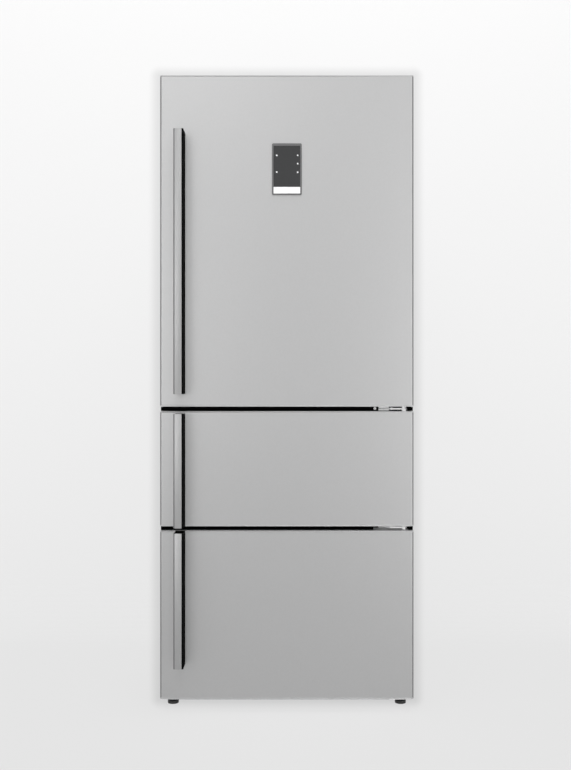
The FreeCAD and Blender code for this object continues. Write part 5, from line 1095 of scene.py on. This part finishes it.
@dataclass
class Cooling:
    """Air ducts, fan, evaporator, compressor and condenser.

    Attributes:
        bend: Radius of a condenser bend.
        bend_steps: Parts of a half-round bend.
        tube: Radius of the condenser tube.
        tube_sides: Sides of the condenser tube.
        wire: Radius of a condenser wire.
        wire_sides: Sides of a condenser wire.
        wire_limit: Width that a wire stays under.
        strap_limit: Width that a strap stays under.
        strap_round: Rounding of a strap's edges.
        fins: Number of evaporator fins.
        fin: Thickness of a fin.
        coil: Radius of the evaporator tube.
        coil_sides: Sides of the evaporator tube.
        plain: Parts that keep their shape, with their finish.
    """

    bend: float = 0.040
    bend_steps: int = 12
    tube: float = 0.0025
    tube_sides: int = 12
    wire: float = 0.001
    wire_sides: int = 8
    wire_limit: float = 0.003
    strap_limit: float = 0.1
    strap_round: float = 0.0006
    fins: int = 29
    fin: float = 0.001
    coil: float = 0.004
    coil_sides: int = 14
    plain: tuple[tuple[str, Finish], ...] = (
        ("fridge_air_duct", DUCT_PLASTIC),
        ("freezer_air_duct", DUCT_PLASTIC),
        ("fan_blade", DUCT_PLASTIC),
        ("fan_motor", BLACK_PLASTIC),
        ("compressor", BLACK_STEEL),
        ("compressor_mounts", BLACK_RUBBER),
        ("drain_pan", BLACK_PLASTIC),
    )

    def _half_turn(self, centre: Point, side: float, radius: float) -> list[Point]:
        """Half-round bend with both ends, upwards, to the right for side 1 and to the left for side -1."""
        bend = Shape.arc((centre[0], centre[2]), radius, 90 - 180 * side, 90, self.bend_steps)
        return [(x, centre[1], z) for x, z in bend]

    def serpentine(self, solid: Solid) -> list[Point]:
        """Centre line of the condenser tube.

        Args:
            solid: The tube's solid.

        Returns:
            Points along the line, from the lowest run up.
        """
        half = solid.high.x - self.tube - self.bend
        y = solid.middle.y
        z = solid.low.z + self.tube
        top = solid.high.z - self.tube
        points: list[Point] = []
        side = 1.0
        while z < top + self.tube:
            points += [(-side * half, y, z), (side * half, y, z)]
            if z + self.bend < top:
                points += self._half_turn((side * half, y, z + self.bend), side, self.bend)[1:-1]
            z += 2 * self.bend
            side = -side
        return points

    def condenser(self) -> None:
        """Serpentine tube, upright wires and the two straps."""
        body = BODY_OF["condenser"]
        tubes: list[list[Point]] = []
        wires: list[list[Point]] = []
        straps = bmesh.new()
        for solid in Solid.of("condenser"):
            x, y, _ = solid.middle
            if solid.size.x < self.wire_limit:
                wires.append([(x, y, solid.low.z), (x, y, solid.high.z)])
            elif solid.size.x < self.strap_limit:
                straps.from_mesh(solid.mesh)
            else:
                tubes.append(self.serpentine(solid))
        for lines, name, radius, sides in (
            (tubes, "condenser_tube", self.tube, self.tube_sides),
            (wires, "condenser_wires", self.wire, self.wire_sides),
        ):
            mesh = PATTERNS.tube.grow(Shape.path_seed(lines), name, BLACK_STEEL, Radius=radius, Sides=sides)
            Dresser.stand_in(mesh, BLACK_STEEL, body)
        mesh = Shape.closed(straps, "condenser_straps")
        Shape.bevelled(mesh, self.strap_round)
        Shape.smooth(mesh)
        Dresser.stand_in(mesh, BLACK_STEEL, body, "condenser")

    def evaporator(self) -> None:
        """Rows of fins on three tube loops."""
        body = BODY_OF["evaporator"]
        solids = Solid.of("evaporator")
        core = max(solids, key=lambda solid: solid.size.x)
        width, depth, height = core.size
        _, y, z = core.middle
        pitch = (width - self.fin) / (self.fins - 1)
        mesh = PATTERNS.row.grow(
            Shape.path_seed([]), "evaporator_fins", BARE_ALUMINIUM, Count=self.fins,
            Start=(core.low.x + self.fin / 2, y, z), Step=(pitch, 0.0, 0.0), Size=(self.fin, depth, height),
        )
        Dresser.stand_in(mesh, BARE_ALUMINIUM, body, "evaporator")
        loops: list[list[Point]] = []
        for solid in solids:
            if solid.low.x > core.high.x - self.fin and solid is not core:
                radius = solid.size.z / 2 - self.coil
                right, left = [
                    self._half_turn((side * core.high.x, solid.middle.y, solid.middle.z), side, radius)
                    for side in (1.0, -1.0)
                ]
                loops.append(right + left[::-1])
        mesh = PATTERNS.tube.grow(
            Shape.path_seed(loops, closed=True), "evaporator_coil", BARE_ALUMINIUM, Radius=self.coil,
            Sides=self.coil_sides,
        )
        Dresser.stand_in(mesh, BARE_ALUMINIUM, body)

    def build(self) -> None:
        """Dress the cooling parts."""
        for node, finish in self.plain:
            Dresser.rounded(node, finish)
        self.condenser()
        self.evaporator()


@dataclass(frozen=True)
class Lamp:
    """One soft lamp.

    Attributes:
        name: Lamp name.
        place: Where it stands.
        target: Where it points.
        size: Width and height.
        watts: Its power.
        shadow: Whether it casts one; a fill lamp does not.
    """

    name: str
    place: Point
    target: Point
    size: Flat
    watts: float
    shadow: bool = False

    def hang(self) -> None:
        """Put the lamp up."""
        data = bpy.data.lights.new(self.name, "AREA")
        data.shape = "RECTANGLE"
        data.size, data.size_y = self.size
        data.energy = self.watts
        data.use_shadow = self.shadow
        made = Shape.link(data, self.name)
        made.location = self.place
        made.rotation_euler = (Vector(self.target) - Vector(self.place)).to_track_quat("-Z", "Y").to_euler()


@dataclass
class Studio:
    """Camera, floor, backdrop and lamps.

    Attributes:
        distance: Camera distance in front of the door plane.
        height: Camera height.
        aside: Camera position across.
        lens: Focal length in millimetres.
        sensor: Width of the frame in millimetres.
        view_end: How far the camera sees.
        behind: Gap between the object and the backdrop's foot.
        sweep: Radius of the backdrop's foot.
        sweep_steps: Parts of that foot.
        lift: How far the backdrop lies above the floor.
        floor_half: Half of the floor's width and depth.
        drop_top: Height and half width of the backdrop.
        matt: Brightness of both for the light that falls on them.
        ground_level: Seen brightness of the floor.
        fade_back: Its rise per metre towards the rear.
        fade_up: Its rise per metre of height.
        fade_range: Least and most that it changes.
        seen_share: Share of the seen brightness that shadows leave alone.
        shadow_level: Brightness inside the painted shadow, shaped as a lamp at the camera would throw it.
        shadow_reach: Soft width of that shadow.
        sky_light: Light level of the surroundings.
        sky_seen: Their seen brightness.
        lamps: Every lamp.
    """

    distance: float = 2.8
    height: float = 0.956
    aside: float = -0.004
    lens: float = 44.89
    sensor: float = 36.0
    view_end: float = 60.0
    behind: float = 0.03
    sweep: float = 0.20
    sweep_steps: int = 14
    lift: float = 0.0004
    floor_half: float = 9.0
    drop_top: float = 6.0
    matt: float = 0.8
    ground_level: float = 0.825
    fade_back: float = 0.034
    fade_up: float = 0.066
    fade_range: Flat = (-0.06, 0.30)
    seen_share: float = 0.85
    shadow_level: float = 0.8
    shadow_reach: float = 0.037
    sky_light: float = 0.3
    sky_seen: float = 0.95
    lamps: tuple[Lamp, ...] = (
        Lamp("high", (-0.4, -3.2, 3.0), (-0.3, -0.3, 1.7), (0.5, 0.8), 5.5, shadow=True),
        Lamp("high_left", (-1.5, -3.0, 2.5), (-0.35, -0.3, 1.6), (0.8, 0.8), 7.5),
        Lamp("high_right", (1.5, -3.0, 2.4), (0.35, -0.3, 1.5), (0.8, 0.8), 7.5),
        Lamp("left", (-1.3, -2.6, 1.2), (-0.35, -0.3, 1.0), (0.5, 1.2), 12.5),
        Lamp("low_left", (-1.5, -2.2, 0.5), (-0.35, -0.3, 0.6), (0.6, 1.0), 3.5),
        Lamp("right", (1.3, -2.6, 1.2), (0.35, -0.3, 1.0), (0.5, 1.2), 6.5),
        Lamp("low_right", (1.5, -2.2, 0.5), (0.35, -0.3, 0.6), (0.6, 1.0), 9.0),
        Lamp("top", (0.0, -1.2, 4.2), (0.0, 0.0, 1.2), (2.4, 1.6), 52.0, shadow=True),
        Lamp("rear", (0.6, 4.0, 2.6), (0.0, 0.3, 0.9), (2.2, 2.2), 22.0, shadow=True),
    )

    def camera(self) -> None:
        """Place the camera at the photograph's angle."""
        low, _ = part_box("fridge_door_skin")
        data = bpy.data.cameras.new("camera")
        data.lens = self.lens
        data.sensor_width = self.sensor
        data.clip_end = self.view_end
        made = Shape.link(data, "camera")
        made.location = (self.aside, low.y - self.distance, self.height)
        made.rotation_euler = (math.radians(90), 0.0, 0.0)
        bpy.context.scene.camera = made

    def ground_material(self, name: str, one_sided: bool) -> bpy.types.Material:
        """Pale matt surface whose seen glow is painted brighter upwards and towards the rear, with a
        painted shadow of the object and the lamps' real shadows on its lit share.

        Args:
            name: Material name.
            one_sided: Whether its rear side is clear.

        Returns:
            The material.
        """
        material = bpy.data.materials.new(name)
        material.use_nodes = True
        wiring = Wiring(material.node_tree)
        place = wiring.add("ShaderNodeTexCoord").outputs["Object"]
        # Painted light: the seen glow rises upwards and towards the rear.
        rise = wiring.vector("DOT_PRODUCT", place, (0.0, self.fade_back, self.fade_up), out="Value")
        levels = tuple(self.ground_level + change for change in self.fade_range)
        fade = wiring.span(rise, self.fade_range, levels)
        # Painted shadow of the object on the seen glow.
        shaded = wiring.number("MULTIPLY", fade, self._painted_front_shadow(wiring, place))
        lit = wiring.add("ShaderNodeBsdfDiffuse", {"Color": (self.matt, self.matt, self.matt, 1.0)})
        seen = wiring.add("ShaderNodeEmission", {"Color": WHITE, "Strength": shaded})
        share = wiring.number("MULTIPLY", wiring.shown(), self.seen_share)
        both = {"Fac": share, 1: lit.outputs["BSDF"], 2: seen.outputs["Emission"]}
        face = wiring.add("ShaderNodeMixShader", both).outputs["Shader"]
        if one_sided:
            rear = wiring.add("ShaderNodeNewGeometry").outputs["Backfacing"]
            clear = wiring.add("ShaderNodeBsdfTransparent").outputs["BSDF"]
            face = wiring.add("ShaderNodeMixShader", {"Fac": rear, 1: face, 2: clear}).outputs["Shader"]
        wiring.add("ShaderNodeOutputMaterial", {"Surface": face})
        return material

    def _painted_front_shadow(self, wiring: Wiring, place: Output) -> Output:
        """Painted soft shadow on floor and backdrop, shaped as a lamp at the camera in front of the doors
        would throw it.

        Args:
            wiring: Wiring of the material.
            place: Place on the surface.

        Returns:
            Brightness share, 1 outside the shadow.
        """
        low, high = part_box("freezer_door_skin")[0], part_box("fridge_door_skin")[1]
        lamp = Vector((0.0, low.y - self.distance, self.height))
        middle = Vector((0.0, low.y, (low.z + high.z) / 2))
        offset = wiring.vector("SUBTRACT", place, lamp)
        reach = wiring.vector("DOT_PRODUCT", offset, (0.0, 1.0, 0.0), out="Value")
        flat = wiring.scaled(offset, wiring.number("DIVIDE", self.distance, reach))
        size = wiring.vector("ABSOLUTE", wiring.vector("SUBTRACT", flat, middle - lamp))
        over = wiring.vector("SUBTRACT", size, (high.x, 0.0, (high.z - low.z) / 2))
        gap = wiring.vector("LENGTH", wiring.vector("MAXIMUM", over, (0.0, 0.0, 0.0)), out="Value")
        return wiring.span(gap, (0.0, self.shadow_reach), (self.shadow_level, 1.0), "SMOOTHSTEP")

    @staticmethod
    def sheet(name: str, rows: list[Flat], half: float, material: bpy.types.Material) -> bpy.types.Object:
        """Smooth stage sheet that is straight from left to right.

        Args:
            name: Sheet name.
            rows: Depth and height of each line across.
            half: Half of the width.
            material: Its material.

        Returns:
            The sheet.
        """
        corners = [(side * half, y, z) for y, z in rows for side in (-1, 1)]
        faces = [(2 * i, 2 * i + 1, 2 * i + 3, 2 * i + 2) for i in range(len(rows) - 1)]
        mesh = bpy.data.meshes.new(name)
        mesh.from_pydata(corners, [], faces)
        mesh.materials.append(material)
        Shape.smooth(mesh, STAGE_EDGE)
        made = Shape.link(mesh, name)
        return made

    def ground(self) -> None:
        """Floor all round, and a backdrop that sweeps up behind and that only the front sees."""
        rear = CAD_BOX[1][1] + self.behind
        half, top = self.floor_half, self.drop_top
        self.sheet("floor", [(-half, 0.0), (half, 0.0)], half, self.ground_material("floor_pale", False))
        sweep = Shape.arc((rear, self.sweep), self.sweep, 270, 360, self.sweep_steps)
        rows = [(y, z + self.lift) for y, z in sweep] + [(rear + self.sweep, top)]
        drop = self.sheet("backdrop", rows, top, self.ground_material("backdrop_pale", True))
        for ray in ("shadow", "diffuse", "glossy", "transmission"):
            setattr(drop, f"visible_{ray}", False)

    def world(self) -> None:
        """Even pale surroundings."""
        world = bpy.data.worlds.new("studio")
        bpy.context.scene.world = world
        world.use_nodes = True
        wiring = Wiring(world.node_tree)
        seen = wiring.span(wiring.shown(), (0.0, 1.0), (self.sky_light, self.sky_seen))
        glow = wiring.add("ShaderNodeBackground", {"Color": WHITE, "Strength": seen})
        wiring.add("ShaderNodeOutputWorld", {"Surface": glow.outputs["Background"]})

    def build(self) -> None:
        """Set up the whole studio."""
        self.camera()
        self.ground()
        self.world()
        for lamp in self.lamps:
            lamp.hang()


def main() -> None:
    """Build the stage and every sub-assembly in order."""
    logging.basicConfig(level=logging.INFO, format="%(name)s: %(message)s")
    bpy.context.scene.view_settings.view_transform = "Standard"
    Studio().build()
    for name in ("fridge", "chill", "freezer"):
        Door(name).build()
    Display().build()
    Cabinet().build()
    Storage().build()
    Cooling().build()


if __name__ == "__main__":
    main()
